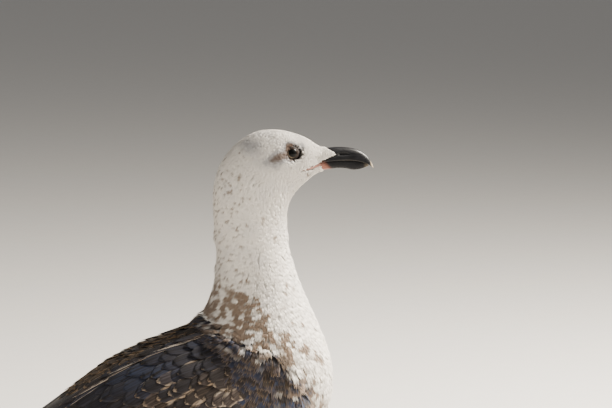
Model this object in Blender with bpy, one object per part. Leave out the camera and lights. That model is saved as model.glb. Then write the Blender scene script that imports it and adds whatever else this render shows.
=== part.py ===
"""A young yellow-legged gull, life size, standing upright on both feet and looking straight ahead.

The bird faces +X, its left side is +Y, and the floor it stands on is Z = 0.
Outlines below are in millimetres. X is measured forward from the top of the crown and
Z down from it, as a drawing of the bird from the side would have them.
"""

import math

import bmesh
import bpy
from mathutils import Matrix, Vector

MM = 0.001
CROWN_HEIGHT = 424.0  # top of the head above the floor
GAP = 0.3  # clearance between neighbouring pieces
SIDES = ((1, "left"), (-1, "right"))
RING_POINTS = 24  # points round a section of the head, neck and trunk
POLES_SIDEWAYS = Matrix.Rotation(math.radians(90), 3, "X")  # turns a ball's poles from Z to Y

# Whole body from the feathered edge of the bill to the vent, one section to a line:
# back edge (x, z), front or belly edge (x, z), half width.
BODY = (
    ((53.0, -16.0), (49.0, -38.0), 9.4),
    ((46.0, -13.0), (44.0, -40.5), 11.6),
    ((38.0, -9.9), (38.5, -43.6), 14.2),
    ((29.0, -6.0), (32.5, -48.4), 17.0),
    ((18.0, -2.2), (26.5, -54.0), 19.6),
    ((6.0, -0.1), (22.0, -59.5), 21.8),
    ((-7.0, -0.6), (19.0, -65.0), 23.6),
    ((-20.0, -5.6), (17.4, -71.0), 25.0),
    ((-32.0, -14.6), (16.8, -77.5), 26.0),
    ((-41.5, -26.5), (16.6, -84.0), 26.8),
    ((-47.5, -40.0), (16.6, -90.5), 27.4),
    ((-50.3, -55.0), (17.0, -97.0), 28.0),
    ((-50.3, -71.0), (18.0, -104.0), 28.8),
    ((-49.0, -88.0), (19.6, -112.0), 30.0),
    ((-47.6, -105.0), (22.4, -121.5), 31.8),
    ((-47.2, -122.0), (26.4, -133.0), 34.8),
    ((-49.6, -139.5), (32.0, -147.5), 39.4),
    ((-54.6, -155.0), (39.6, -164.5), 45.4),
    ((-62.0, -168.0), (48.2, -184.0), 53.5),
    ((-72.0, -176.0), (55.6, -205.0), 60.5),
    ((-84.0, -181.5), (58.8, -227.0), 65.5),
    ((-97.0, -187.0), (56.0, -249.0), 67.8),
    ((-110.0, -193.5), (46.0, -270.0), 68.2),
    ((-123.0, -201.5), (29.0, -288.5), 67.4),
    ((-136.0, -211.0), (6.0, -303.5), 65.2),
    ((-149.0, -222.0), (-22.0, -316.0), 62.0),
    ((-162.0, -234.0), (-54.0, -325.5), 57.5),
    ((-175.0, -247.0), (-88.0, -332.0), 52.0),
    ((-188.0, -260.5), (-122.0, -336.5), 45.5),
    ((-201.0, -275.0), (-154.0, -340.5), 39.5),
    ((-213.0, -290.5), (-184.0, -344.0), 33.0),
    ((-224.0, -306.0), (-211.0, -347.0), 26.0),
    ((-234.0, -320.0), (-232.0, -349.0), 18.0),
)
HEAD_END = 10.4  # place along BODY, counted in sections, where the head meets the neck
NECK_END = 18.3  # and where the neck meets the trunk
CUT_STEP = {"head": 0.055, "neck": 0.04}  # sections left out at those two cuts

# Bill: (x, z) points of the line where its halves meet, then (x, z of the ridge or keel,
# half width) along the upper and lower mandible.
MOUTH_LINE = (
    (36.0, -33.2),
    (47.0, -29.9),
    (58.0, -28.9),
    (70.0, -28.6),
    (80.0, -29.5),
    (89.0, -32.2),
    (96.0, -36.0),
)
UPPER_MANDIBLE = (
    (39.0, -18.2, 7.6),
    (52.0, -17.4, 7.4),
    (62.0, -16.7, 6.6),
    (72.0, -17.3, 5.7),
    (79.5, -19.0, 5.0),
    (85.5, -21.9, 4.3),
    (90.0, -25.8, 3.5),
    (93.2, -30.6, 2.5),
    (94.9, -35.0, 1.5),
)
HOOK_TIP = (95.2, -38.0)
HOOK_TAPER = 0.25  # size of the last section against the one before it
LOWER_MANDIBLE = (
    (39.0, -38.0, 7.2),
    (50.0, -35.9, 6.9),
    (62.0, -34.5, 5.9),
    (70.0, -35.2, 5.2),
    (76.5, -36.9, 4.5),
    (82.0, -36.9, 3.5),
    (87.0, -35.9, 2.2),
    (90.4, -34.8, 1.1),
)
NOSTRIL = {"centre": (67.0, -22.6), "half_length": 4.6, "half_height": 0.85, "depth": 2.4}

EYE_CENTRE = (22.4, -21.0)
EYE_RADIUS = 7.3
EYE_PEAK = 19.0  # how far out from the middle of the head the eye reaches
ORBIT_RADIUS = 13.0  # shallow dish that the eye sits in
ORBIT_DEPTH = 2.6

# Folded arm: x, then (y, z) of its top edge, its fullest point and its lower edge, then thickness.
WING_ARM = (
    (30.0, (51.0, -238.0), (54.5, -244.0), (51.0, -250.0), 6.0),
    (24.0, (48.0, -226.0), (60.5, -243.0), (54.0, -258.0), 9.0),
    (12.0, (49.0, -213.0), (66.0, -241.0), (57.0, -267.0), 11.0),
    (-8.0, (47.0, -202.0), (70.5, -241.0), (60.0, -277.0), 12.0),
    (-32.0, (42.0, -192.0), (73.0, -245.0), (61.5, -286.0), 12.5),
    (-58.0, (31.0, -184.0), (73.5, -251.0), (61.0, -293.0), 12.5),
    (-84.0, (18.0, -183.5), (72.0, -258.0), (58.5, -299.0), 12.0),
    (-110.0, (9.0, -190.5), (68.5, -265.0), (55.0, -305.0), 11.5),
    (-136.0, (3.5, -201.0), (63.5, -273.0), (51.0, -311.0), 11.0),
    (-162.0, (1.2, -217.0), (57.0, -283.0), (46.5, -317.0), 10.0),
    (-188.0, (0.5, -238.5), (50.0, -294.0), (42.5, -323.0), 9.0),
    (-214.0, (0.5, -259.5), (44.0, -305.0), (39.0, -329.0), 7.5),
    (-236.0, (0.5, -276.5), (39.5, -314.0), (36.0, -333.5), 6.0),
)
WING_TIP = (
    (-236.5, (0.5, -279.0), (37.5, -316.0), (34.5, -334.0), 4.6),
    (-262.0, (0.7, -296.0), (32.5, -325.5), (30.0, -340.0), 4.2),
    (-290.0, (1.4, -315.5), (27.0, -337.0), (25.0, -347.0), 3.6),
    (-318.0, (3.0, -335.0), (21.5, -348.5), (20.0, -354.5), 2.8),
    (-340.0, (5.0, -349.5), (17.0, -357.5), (16.0, -360.5), 2.0),
    (-358.0, (7.0, -361.5), (12.5, -364.5), (12.0, -365.8), 1.2),
)

# Closed tail: x, z of its middle, half width, half thickness, droop of its edges.
TAIL = (
    (-196.0, -318.0, 19.0, 4.0, 2.0),
    (-222.0, -330.0, 23.0, 3.4, 2.4),
    (-250.0, -341.0, 26.5, 2.4, 2.8),
    (-280.0, -350.5, 29.5, 1.7, 3.0),
    (-300.0, -356.0, 31.0, 1.3, 3.0),
    (-309.0, -358.4, 27.0, 0.9, 2.2),
)

# Leg: the hock stands just behind the foot and the shin leans back up to it.
FOOT_X = -91.0  # where the toes meet, under the bird's balance point
FOOT_SPREAD = 31.0  # from the middle plane to each foot
TOE_JOINT_HEIGHT = 7.5
HOCK = {"x": -102.0, "y": 29.5, "height": 70.0}
KNEE = {"x": -66.0, "y": 27.0, "height": 126.0}
THIGH = (  # share of the shin's length up from the hock, half depth, half width
    (0.24, 5.6, 4.8),
    (0.36, 9.0, 7.2),
    (0.52, 14.0, 10.5),
    (0.75, 19.0, 13.5),
    (1.0, 21.0, 15.0),
)
TOES_OUT = 9.0  # degrees that each foot turns outwards
TOES = {  # angle from the foot's own axis, length to the claw, radius at the root
    "inner": (-27.0, 37.0, 3.0),
    "middle": (0.0, 50.0, 3.3),
    "outer": (26.0, 45.0, 3.0),
    "hind": (172.0, 8.5, 2.2),
}
CLAW_LENGTH = {"inner": 7.0, "middle": 9.0, "outer": 6.5, "hind": 4.0}
WEB_THICKNESS = 1.4
WEB_HOLLOW = 0.13  # share of a toe's length that the web's free edge is drawn in
SOLE = 0.25  # depth of toe pad pressed flat against the floor

COLOURS = {
    "plumage_white": ((0.76, 0.73, 0.69), 0.85),
    "plumage_wing": ((0.20, 0.18, 0.16), 0.85),
    "flight_feather": ((0.055, 0.045, 0.04), 0.7),
    "bill_horn": ((0.03, 0.028, 0.028), 0.35),
    "eye": ((0.10, 0.075, 0.05), 0.08),
    "leg_skin": ((0.55, 0.38, 0.30), 0.55),
    "claw": ((0.03, 0.025, 0.022), 0.4),
}
MANDIBLE_POINTS = 9  # points over a half-round section of the bill
SQUARENESS = 0.8  # below 1, the bill's sides stand steeper than a half ellipse


# ---------------------------------------------------------------- building blocks


def start_clean():
    for obj in list(bpy.data.objects):
        bpy.data.objects.remove(obj)


def collection(name, shown=True):
    made = bpy.data.collections.new(name)
    bpy.context.scene.collection.children.link(made)
    made.hide_render = not shown
    return made


def material(name):
    found = bpy.data.materials.get(name)
    if found:
        return found
    colour, roughness = COLOURS[name]
    found = bpy.data.materials.new(name)
    found.use_nodes = True
    shader = found.node_tree.nodes["Principled BSDF"]
    shader.inputs["Base Color"].default_value = (*colour, 1.0)
    shader.inputs["Roughness"].default_value = roughness
    shader.inputs["Metallic"].default_value = 0.0
    return found


def place(x, y, z):
    """A point in metres from millimetres measured from the crown."""
    return Vector((x, y, z + CROWN_HEIGHT)) * MM


def smooth_between(rows, t):
    """Catmull-Rom value of rows, lists of numbers, at t counted in rows."""
    last = len(rows) - 1
    i = min(max(int(t), 0), last - 1)
    u = t - i
    before, start, end, after = (
        rows[max(i - 1, 0)],
        rows[i],
        rows[i + 1],
        rows[min(i + 2, last)],
    )
    return [
        0.5 * (2 * b + (c - a) * u + (2 * a - 5 * b + 4 * c - d) * u**2 + (3 * b - a - 3 * c + d) * u**3)
        for a, b, c, d in zip(before, start, end, after)
    ]


def height_at(line, x):
    """Height of a line of (x, z) points at x."""
    for (x0, z0), (x1, z1) in zip(line, line[1:]):
        if x <= x1:
            return z0 + (z1 - z0) * (x - x0) / (x1 - x0)
    return line[-1][1]


def loft(name, rings, finish, into):
    """A closed solid through rings of points, one closed loop each, all with as many points."""
    mesh = bmesh.new()
    loops = [[mesh.verts.new(p) for p in ring] for ring in rings]
    count = len(rings[0])
    for near, far in zip(loops, loops[1:]):
        for i in range(count):
            j = (i + 1) % count
            mesh.faces.new((near[i], near[j], far[j], far[i]))
    mesh.faces.new(reversed(loops[0]))
    mesh.faces.new(loops[-1])
    bmesh.ops.recalc_face_normals(mesh, faces=mesh.faces)
    return finish_mesh(name, mesh, finish, into)


def finish_mesh(name, mesh, finish, into):
    """Turns a bmesh into an object of that name, shaded smooth away from its sharp edges.

    Its faces are split into triangles here, so that a piece and the room cut for it match exactly.
    """
    bmesh.ops.triangulate(mesh, faces=mesh.faces, quad_method="SHORT_EDGE")
    data = bpy.data.meshes.new(name)
    mesh.to_mesh(data)
    mesh.free()
    data.shade_smooth()
    data.set_sharp_from_angle(angle=math.radians(45))
    if finish:
        data.materials.append(material(finish))
    obj = bpy.data.objects.new(name, data)
    into.objects.link(obj)
    return obj


def mark_cutter(obj):
    obj.hide_render = True
    obj.display_type = "WIRE"
    return obj


def cut(obj, *cutters):
    for cutter in cutters:
        modifier = obj.modifiers.new(f"less {cutter.name}", "BOOLEAN")
        modifier.operation = "DIFFERENCE"
        modifier.object = cutter


def room_for(obj, into):
    """A cutter the shape of obj, grown by the gap on every side."""
    mesh = bmesh.new()
    mesh.from_mesh(obj.data)
    mesh.normal_update()
    moved = [(v, v.normal * GAP * MM * min(v.calc_shell_factor(), 3.0)) for v in mesh.verts]
    for vertex, step in moved:
        vertex.co += step
    return mark_cutter(finish_mesh(f"{obj.name}_room", mesh, None, into))


def evaluated_mesh(obj):
    """A bmesh of obj with its modifiers applied."""
    bpy.context.view_layer.update()
    graph = bpy.context.evaluated_depsgraph_get()
    mesh = bmesh.new()
    mesh.from_object(obj, graph)
    return mesh


# ---------------------------------------------------------------- head, neck and trunk


def body_ring(t):
    """Section of the whole body at t, counted in sections of BODY."""
    rows = [(*back, *front, width) for back, front, width in BODY]
    back_x, back_z, front_x, front_z, width = smooth_between(rows, t)
    back, front = place(back_x, 0, back_z), place(front_x, 0, front_z)
    middle, reach = (back + front) / 2, (back - front) / 2
    ring = []
    for k in range(RING_POINTS):
        turn = 2 * math.pi * k / RING_POINTS
        side = Vector((0, math.sin(turn) * width * MM, 0))
        ring.append(middle + reach * math.cos(turn) + side)
    return ring


def body_length(name, start, end, steps, into):
    rings = [body_ring(start + (end - start) * i / steps) for i in range(steps + 1)]
    return loft(name, rings, "plumage_white", into)


def eye_middle(side):
    x, z = EYE_CENTRE
    return place(x, side * (EYE_PEAK - EYE_RADIUS), z)


def ball(name, centre, radius, finish, into, segments=14):
    mesh = bmesh.new()
    bmesh.ops.create_uvsphere(mesh, u_segments=segments, v_segments=segments // 2, radius=radius * MM)
    bmesh.ops.rotate(mesh, verts=mesh.verts, cent=(0, 0, 0), matrix=POLES_SIDEWAYS)
    bmesh.ops.translate(mesh, verts=mesh.verts, vec=centre)
    return finish_mesh(name, mesh, finish, into)


def orbit_cutter(side, into):
    """A flattened ball that leaves the shallow dish round the eye."""
    x, z = EYE_CENTRE
    centre = place(x, side * (EYE_PEAK - ORBIT_DEPTH + ORBIT_RADIUS), z)
    return mark_cutter(ball(f"orbit_cutter_{side}", centre, ORBIT_RADIUS, None, into, 20))


# ---------------------------------------------------------------- bill


def mandible_ring(x, ridge, width, upper):
    """Half-round section between the mouth line and the ridge or keel."""
    mouth = height_at(MOUTH_LINE, x) + (GAP / 2 if upper else -GAP / 2)
    last = MANDIBLE_POINTS - 1
    arc = [math.pi * k / last for k in range(last + 1)]
    ring = [
        place(
            x,
            width * math.copysign(abs(math.cos(a)) ** SQUARENESS, math.cos(a)),
            mouth + (ridge - mouth) * math.sin(a) ** 0.9 if 0 < k < last else mouth,
        )
        for k, a in enumerate(arc)
    ]
    ring.append(place(x, -width / 3, mouth))
    ring.append(place(x, width / 3, mouth))
    return ring


def smooth_rows(rows, steps):
    last = len(rows) - 1
    return [smooth_between(rows, last * i / steps) for i in range(steps + 1)]


def upper_mandible(name, finish, into, steps=11):
    rings = [mandible_ring(x, z, w, True) for x, z, w in smooth_rows(UPPER_MANDIBLE, steps)]
    tip_x, tip_z = HOOK_TIP
    middle = sum(rings[-1], Vector()) / len(rings[-1])
    rings.append([place(tip_x, 0, tip_z) + (p - middle) * HOOK_TAPER for p in rings[-1]])
    return loft(name, rings, finish, into)


def lower_mandible(name, finish, into, steps=9):
    rings = [mandible_ring(x, z, w, False) for x, z, w in smooth_rows(LOWER_MANDIBLE, steps)]
    return loft(name, rings, finish, into)


def nostril_cutter(side, into):
    x, z = NOSTRIL["centre"]
    mesh = bmesh.new()
    bmesh.ops.create_uvsphere(mesh, u_segments=12, v_segments=8, radius=1.0)
    size = (NOSTRIL["half_length"] * MM, NOSTRIL["depth"] * MM, NOSTRIL["half_height"] * MM)
    bmesh.ops.scale(mesh, verts=mesh.verts, vec=size)
    bmesh.ops.translate(mesh, verts=mesh.verts, vec=place(x, side * 6.6, z))
    return mark_cutter(finish_mesh(f"nostril_cutter_{side}", mesh, None, into))


# ---------------------------------------------------------------- wings and tail


def wing_ring(x, top, full, low, thick, side):
    """Crescent section of a folded wing in the upright plane at x."""
    (top_y, top_z), (full_y, full_z), (low_y, low_z) = top, full, low
    arc = 6
    outer, inner = [], []
    for k in range(arc + 1):
        a = math.pi / 2 * k / arc
        outer.append((top_y + (full_y - top_y) * math.sin(a), full_z + (top_z - full_z) * math.cos(a)))
    for k in range(1, arc // 2 + 1):
        a = math.pi / 2 * k / (arc // 2)
        outer.append((low_y + (full_y - low_y) * math.cos(a), full_z - (full_z - low_z) * math.sin(a)))
    last = len(outer) - 1
    for k, (y, z) in enumerate(outer):
        nearer = outer[max(k - 1, 0)], outer[min(k + 1, last)]
        along = Vector((nearer[1][0] - nearer[0][0], nearer[1][1] - nearer[0][1])).normalized()
        edge = math.sin(math.pi * min(max(k / last, 0.06), 0.94)) ** 0.5
        depth = thick * edge
        inward = Vector((along.y, -along.x))
        inner.append((max(y + inward.x * depth, GAP), z + inward.y * depth))
    return [place(x, side * max(y, GAP), z) for y, z in outer + inner[::-1]]


def wing(name, stations, side, finish, into, steps=10):
    rows = [(x, *top, *full, *low, thick) for x, top, full, low, thick in stations]
    rings = [
        wing_ring(x, (ty, tz), (fy, fz), (ly, lz), thick, side)
        for x, ty, tz, fy, fz, ly, lz, thick in smooth_rows(rows, steps)
    ]
    return loft(name, rings, finish, into)


def tail_ring(x, z, width, thick, droop):
    ring = []
    for k in range(20):
        turn = 2 * math.pi * k / 20
        across = math.cos(turn)
        up = math.copysign(abs(math.sin(turn)) ** 0.6, math.sin(turn))
        ring.append(place(x, across * width, z - droop * across**2 + up * thick))
    return ring


def tail(name, finish, into):
    rings = [tail_ring(*row) for row in smooth_rows(TAIL, 7)]
    return loft(name, rings, finish, into)


# ---------------------------------------------------------------- legs and feet


def leg_points(side):
    """Toe joint, hock and knee of one leg."""
    toe = Vector((FOOT_X, side * FOOT_SPREAD, TOE_JOINT_HEIGHT - CROWN_HEIGHT))
    hock = Vector((HOCK["x"], side * HOCK["y"], HOCK["height"] - CROWN_HEIGHT))
    knee = Vector((KNEE["x"], side * KNEE["y"], KNEE["height"] - CROWN_HEIGHT))
    return toe, hock, knee


def limb(name, stations, finish, into, points=12):
    """A tapered rod through stations of (point, half depth, half width), square to its run."""
    rings = []
    for i, (centre, depth, width) in enumerate(stations):
        before = stations[max(i - 1, 0)][0]
        after = stations[min(i + 1, len(stations) - 1)][0]
        along = (after - before).normalized()
        across = Vector((0, 1, 0)) if abs(along.y) < 0.8 else Vector((0, 0, 1))
        across = (across - along * along.dot(across)).normalized()
        front = across.cross(along)
        rings.append(
            [
                place(*(centre + front * depth * math.cos(a) + across * width * math.sin(a)))
                for a in (2 * math.pi * k / points for k in range(points))
            ]
        )
    return loft(name, rings, finish, into)


def thigh(name, side, finish, into):
    """Feathered part of the leg, from inside the flank down to just above the hock."""
    _, hock, knee = leg_points(side)
    run = knee - hock
    stations = [(hock + run * share, depth, width) for share, depth, width in THIGH]
    return limb(name, stations, finish, into, 16)


def shank(name, side, finish, into):
    """Bare leg in one piece: the end of the shin, the hock and the tarsus down to the toes."""
    toe, hock, knee = leg_points(side)
    shin = knee - hock
    tarsus = toe - hock
    stations = (
        (hock + shin * 0.225, 3.4, 2.9),
        (hock + shin * 0.14, 3.6, 3.0),
        (hock + shin * 0.05, 4.9, 4.0),
        (hock + tarsus * 0.0, 5.4, 4.4),
        (hock + tarsus * 0.07, 4.8, 3.9),
        (hock + tarsus * 0.16, 3.7, 2.8),
        (hock + tarsus * 0.45, 3.4, 2.5),
        (hock + tarsus * 0.75, 3.5, 2.7),
        (hock + tarsus * 0.9, 4.2, 3.6),
        (hock + tarsus * 0.97, 4.4, 4.2),
    )
    return limb(name, stations, finish, into, 10)


def toe_direction(toe, side):
    """Unit vector along one toe. The inner toe points towards the other foot."""
    angle = math.radians(TOES[toe][0] + TOES_OUT)
    return Vector((math.cos(angle), side * math.sin(angle), 0))


def toe_stations(toe, side):
    """Path of one toe from the joint at the foot of the tarsus to its claw."""
    _, length, radius = TOES[toe]
    root = Vector((FOOT_X, side * FOOT_SPREAD, -CROWN_HEIGHT))
    run = toe_direction(toe, side)
    shape = (  # share of the length, share of the root radius, lift of the middle line
        (-0.02, 0.8, 1.9),
        (0.2, 1.0, 1.02),
        (0.48, 0.9, 0.88),
        (0.76, 0.8, 0.78),
        (0.93, 0.62, 0.68),
        (1.0, 0.42, 0.70),
    )
    return [
        (root + run * length * share + Vector((0, 0, radius * lift)), radius * thick, radius * thick)
        for share, thick, lift in shape
    ]


def web_outline(side):
    """Corners of the web between the front toes, its free edges drawn in between the tips."""
    root = Vector((FOOT_X, side * FOOT_SPREAD, -CROWN_HEIGHT))
    tips = [root + toe_direction(t, side) * TOES[t][1] * 0.93 for t in ("inner", "middle", "outer")]
    outline = [root]
    for near, far in zip(tips, tips[1:]):
        for share in (0.0, 0.33, 0.67):
            point = near.lerp(far, share)
            outline.append(root.lerp(point, 1 - WEB_HOLLOW * math.sin(math.pi * share)))
    outline.append(tips[-1])
    return outline


def web(name, side, finish, into):
    mesh = bmesh.new()
    corners = [mesh.verts.new(place(p.x, p.y, p.z + 0.5)) for p in web_outline(side)]
    face = mesh.faces.new(corners)
    grown = bmesh.ops.extrude_face_region(mesh, geom=[face])
    lifted = [v for v in grown["geom"] if isinstance(v, bmesh.types.BMVert)]
    bmesh.ops.translate(mesh, verts=lifted, vec=(0, 0, WEB_THICKNESS * MM))
    bmesh.ops.recalc_face_normals(mesh, faces=mesh.faces)
    return finish_mesh(name, mesh, finish, into)


def ankle_ball(name, side, finish, into):
    root = place(FOOT_X, side * FOOT_SPREAD, TOE_JOINT_HEIGHT - CROWN_HEIGHT - 2.9)
    return ball(name, root, 4.4, finish, into, 8)


def foot(name, side, into, helpers):
    """Toes, web and the joint that they spring from, in one body with flat pads at the floor."""
    base = limb(name, toe_stations("middle", side), "leg_skin", into, 8)
    others = [
        limb(f"{name}_{toe}_toe", toe_stations(toe, side), None, helpers, 8)
        for toe in ("inner", "outer", "hind")
    ]
    others.append(web(f"{name}_web", side, None, helpers))
    others.append(ankle_ball(f"{name}_joint", side, None, helpers))
    for other in others:
        mark_cutter(other)
        modifier = base.modifiers.new(f"with {other.name}", "BOOLEAN")
        modifier.operation = "UNION"
        modifier.use_self = True
        modifier.object = other
    cut(base, floor_block(side, helpers))
    return base


def floor_block(side, into):
    """Takes the lowest sliver off the toe pads, which then stand on small flats."""
    mesh = bmesh.new()
    bmesh.ops.create_cube(mesh, size=1.0)
    bmesh.ops.scale(mesh, verts=mesh.verts, vec=(0.16, 0.16, 0.02))
    top = place(FOOT_X + 20, side * FOOT_SPREAD, SOLE - CROWN_HEIGHT)
    bmesh.ops.translate(mesh, verts=mesh.verts, vec=top - Vector((0, 0, 0.01)))
    return mark_cutter(finish_mesh(f"floor_cutter_{side}", mesh, None, into))


def claw(name, toe, side, into):
    """A curved, pointed claw that springs from the toe's end and touches down near the floor."""
    _, length, radius = TOES[toe]
    run = toe_direction(toe, side)
    start = toe_stations(toe, side)[-1][0]
    reach = CLAW_LENGTH[toe]
    stations = []
    for share, thick in ((0.0, 1.0), (0.35, 0.85), (0.7, 0.55), (1.0, 0.2)):
        drop = radius * 0.42 * share**2
        lift = 0.5 * math.sin(math.pi * share)
        point = start + run * (GAP + reach * share) + Vector((0, 0, lift - drop))
        stations.append((point, radius * 0.48 * thick, radius * 0.38 * thick))
    return limb(name, stations, "claw", into, 6)


# ---------------------------------------------------------------- the bird


def build_body(bird):
    head = body_length("head", 0, HEAD_END, 12, bird)
    body_length("neck", HEAD_END + CUT_STEP["head"], NECK_END, 8, bird)
    trunk = body_length("trunk", NECK_END + CUT_STEP["neck"], len(BODY) - 1, 17, bird)
    return head, trunk


def build_head_pieces(head, bird, helpers):
    upper = upper_mandible("bill_upper", "bill_horn", bird)
    lower = lower_mandible("bill_lower", "bill_horn", bird)
    cut(head, room_for(upper, helpers), room_for(lower, helpers))
    for side, word in SIDES:
        cut(upper, nostril_cutter(side, helpers))
        eye = ball(f"eye_{word}", eye_middle(side), EYE_RADIUS, "eye", bird)
        cut(head, orbit_cutter(side, helpers), room_for(eye, helpers))


def build_limbs(trunk, bird, helpers):
    cut(trunk, room_for(tail("tail", "flight_feather", bird), helpers))
    for side, word in SIDES:
        arm = wing(f"wing_{word}", WING_ARM, side, "plumage_wing", bird)
        wing(f"wing_tip_{word}", WING_TIP, side, "flight_feather", bird, steps=5)
        feathered = thigh(f"thigh_{word}", side, "plumage_white", bird)
        cut(trunk, room_for(arm, helpers), room_for(feathered, helpers))
        shank(f"leg_{word}", side, "leg_skin", bird)
        foot(f"foot_{word}", side, bird, helpers)
        for toe in TOES:
            claw(f"claw_{toe}_{word}", toe, side, bird)


def centre_on_floor(bird):
    """Moves the bird so that the middle of its outline is over the origin and its soles at Z = 0."""
    corners = []
    for obj in bird.objects:
        mesh = evaluated_mesh(obj)
        corners += [v.co.copy() for v in mesh.verts]
        mesh.free()
    low_x, high_x = min(p.x for p in corners), max(p.x for p in corners)
    shift = Vector((-(low_x + high_x) / 2, 0, -min(p.z for p in corners)))
    for obj in bpy.data.objects:
        obj.data.transform(Matrix.Translation(shift))


def main():
    start_clean()
    bird = collection("gull")
    helpers = collection("cutters", shown=False)
    head, trunk = build_body(bird)
    build_head_pieces(head, bird, helpers)
    build_limbs(trunk, bird, helpers)
    centre_on_floor(bird)


main()
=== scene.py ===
"""Plumage, skin, eyes, bill and claws of a young yellow-legged gull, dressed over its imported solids.

The file is laid out as a Blender add-on and run as a script: each group of pieces has an operator,
and the panel in the 3D view's sidebar lists them. The bird faces +X and its left side is +Y.
"""

import math

import bmesh
import bpy
import numpy as np
from mathutils import Matrix, Vector
from mathutils.bvhtree import BVHTree
from mathutils.kdtree import KDTree


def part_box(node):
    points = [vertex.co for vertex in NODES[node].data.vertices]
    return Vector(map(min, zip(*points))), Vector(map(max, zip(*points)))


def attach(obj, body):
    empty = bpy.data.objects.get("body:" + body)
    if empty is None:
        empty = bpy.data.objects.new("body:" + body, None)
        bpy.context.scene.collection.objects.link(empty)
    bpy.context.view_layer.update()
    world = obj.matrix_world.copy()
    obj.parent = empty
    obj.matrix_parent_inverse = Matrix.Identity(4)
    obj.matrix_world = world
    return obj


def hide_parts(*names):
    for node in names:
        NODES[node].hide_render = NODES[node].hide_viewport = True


bl_info = {
    "name": "Gull Plumage",
    "version": (1, 0, 0),
    "blender": (4, 5, 0),
    "location": "View3D > Sidebar > Gull",
    "description": "Dresses the solids of a standing gull with skin, feathers, eyes, bill and claws",
    "category": "Add Mesh",
}

MM = 0.001
SIDES = ((1, "left"), (-1, "right"))

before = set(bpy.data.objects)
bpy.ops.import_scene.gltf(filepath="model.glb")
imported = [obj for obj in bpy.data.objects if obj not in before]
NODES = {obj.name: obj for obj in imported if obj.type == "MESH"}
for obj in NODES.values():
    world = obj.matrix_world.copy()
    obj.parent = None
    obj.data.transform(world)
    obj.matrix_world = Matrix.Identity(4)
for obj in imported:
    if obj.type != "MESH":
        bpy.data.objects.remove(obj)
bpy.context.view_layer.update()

FLESH = ("head", "neck", "trunk", "thigh_left", "thigh_right", "wing_left", "wing_right")
BARE_LEG = ("leg_left", "foot_left", "leg_right", "foot_right")
WING_SHEET = ("trunk", "wing_left", "wing_right", "wing_tip_left", "wing_tip_right")

EYE_AT = sum(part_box("eye_left"), Vector()) / 2
EYE_RADIUS = (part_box("eye_left")[1].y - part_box("eye_left")[0].y) / 2
LEG_LOW, LEG_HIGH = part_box("leg_left")
LEG_TOP = Vector((LEG_HIGH.x - 5 * MM, (LEG_LOW.y + LEG_HIGH.y) / 2, LEG_HIGH.z))
# Top of the crown, which the outlines below are measured from, in millimetres.
CROWN = Vector((EYE_AT.x - 22.4 * MM, 0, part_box("head")[1].z))
# The eyeball sits a little behind and above its solid's middle.
EYE_AT.x -= 3.4 * MM
EYE_AT.z += 0.8 * MM


def from_crown(x, z, y=0.0):
    """A point in metres from millimetres forward of, above and to the left of the crown."""
    return CROWN + Vector((x, y, z)) * MM


# Middle line of the bird from the bill's base to the tail, which the feathers lie along:
# x, z from the crown.
SPINE = (
    (58, -27), (30, -32), (2, -42), (-14, -64), (-16, -95), (-12, -130), (-8, -165),
    (-12, -198), (-34, -232), (-75, -258), (-125, -282), (-180, -310), (-240, -340), (-300, -370),
)
# Plumage along that line: millimetres from the bill's base, then feather length, half width,
# spacing, depth of the coat, and how far the feathers fan out from the line.
COAT = (
    (0, 2.9, 0.56, 0.52, 0.5, 0.0),
    (14, 4.1, 0.72, 0.62, 1.1, 0.0),
    (32, 5.8, 0.95, 0.78, 1.9, 0.0),
    (60, 8.6, 1.3, 1.02, 3.0, 0.0),
    (95, 10.5, 1.55, 1.35, 4.4, 0.0),
    (140, 14.0, 2.0, 1.75, 5.8, 0.25),
    (190, 18.0, 2.8, 2.3, 7.4, 0.55),
    (250, 22.0, 3.7, 3.0, 8.4, 0.35),
    (340, 25.0, 4.8, 4.1, 8.0, 0.1),
    (430, 27.0, 5.2, 4.6, 6.0, 0.0),
    (560, 24.0, 5.0, 4.6, 4.0, 0.0),
)
# Upper front edge of the dark back and wings, seen from the side: x, z from the crown.
DARK_EDGE = (
    (-67, -164), (-55, -178), (-40, -189), (-23, -195), (-5, -201), (9, -211),
    (18, -222), (26, -235), (29, -252), (23, -268), (0, -284),
)
# The bill from the side, in millimetres from the crown: the line where its halves meet, as x and z,
# then each half's ridge, as x, z and half width.
MOUTH = ((36, -33.2), (47, -29.9), (58, -28.9), (70, -28.6), (80, -29.5), (89, -32.2), (96, -36.5))
UPPER_BILL = (
    (39.0, -18.2, 7.6), (52.0, -17.4, 7.4), (62.0, -16.7, 6.6), (72.0, -17.3, 5.7), (79.5, -19.0, 5.0),
    (85.5, -21.9, 4.3), (90.0, -25.8, 3.5), (93.2, -30.6, 2.5), (94.9, -35.0, 1.5), (95.2, -38.2, 0.3),
)
LOWER_BILL = (
    (39.0, -38.6, 7.2), (50.0, -37.1, 6.9), (62.0, -36.0, 5.9), (70.0, -36.4, 5.2),
    (76.5, -37.6, 4.5), (82.0, -37.3, 3.5), (87.0, -35.9, 2.2), (90.8, -34.4, 0.6),
)
# Height of the bill's middle line and where its feathered base starts, from the crown.
BILL_MIDDLE, BILL_BASE = -27.5, 36
# How far forward the face's feathers reach: degrees above the bill's side, millimetres from the crown.
FEATHER_EDGE = (
    (-90, 51), (-60, 49.5), (-35, 48), (-12, 44.5), (0, 44.5), (8, 48),
    (20, 56.5), (30, 60.5), (45, 58), (60, 54.5), (90, 52.5),
)
# Ends of the corner of the mouth, from the crown, and how far it sags between them.
GAPE_FRONT, GAPE_REAR, GAPE_SAG = (49.0, -30.6), (27.6, -35.8), 0.7
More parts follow.
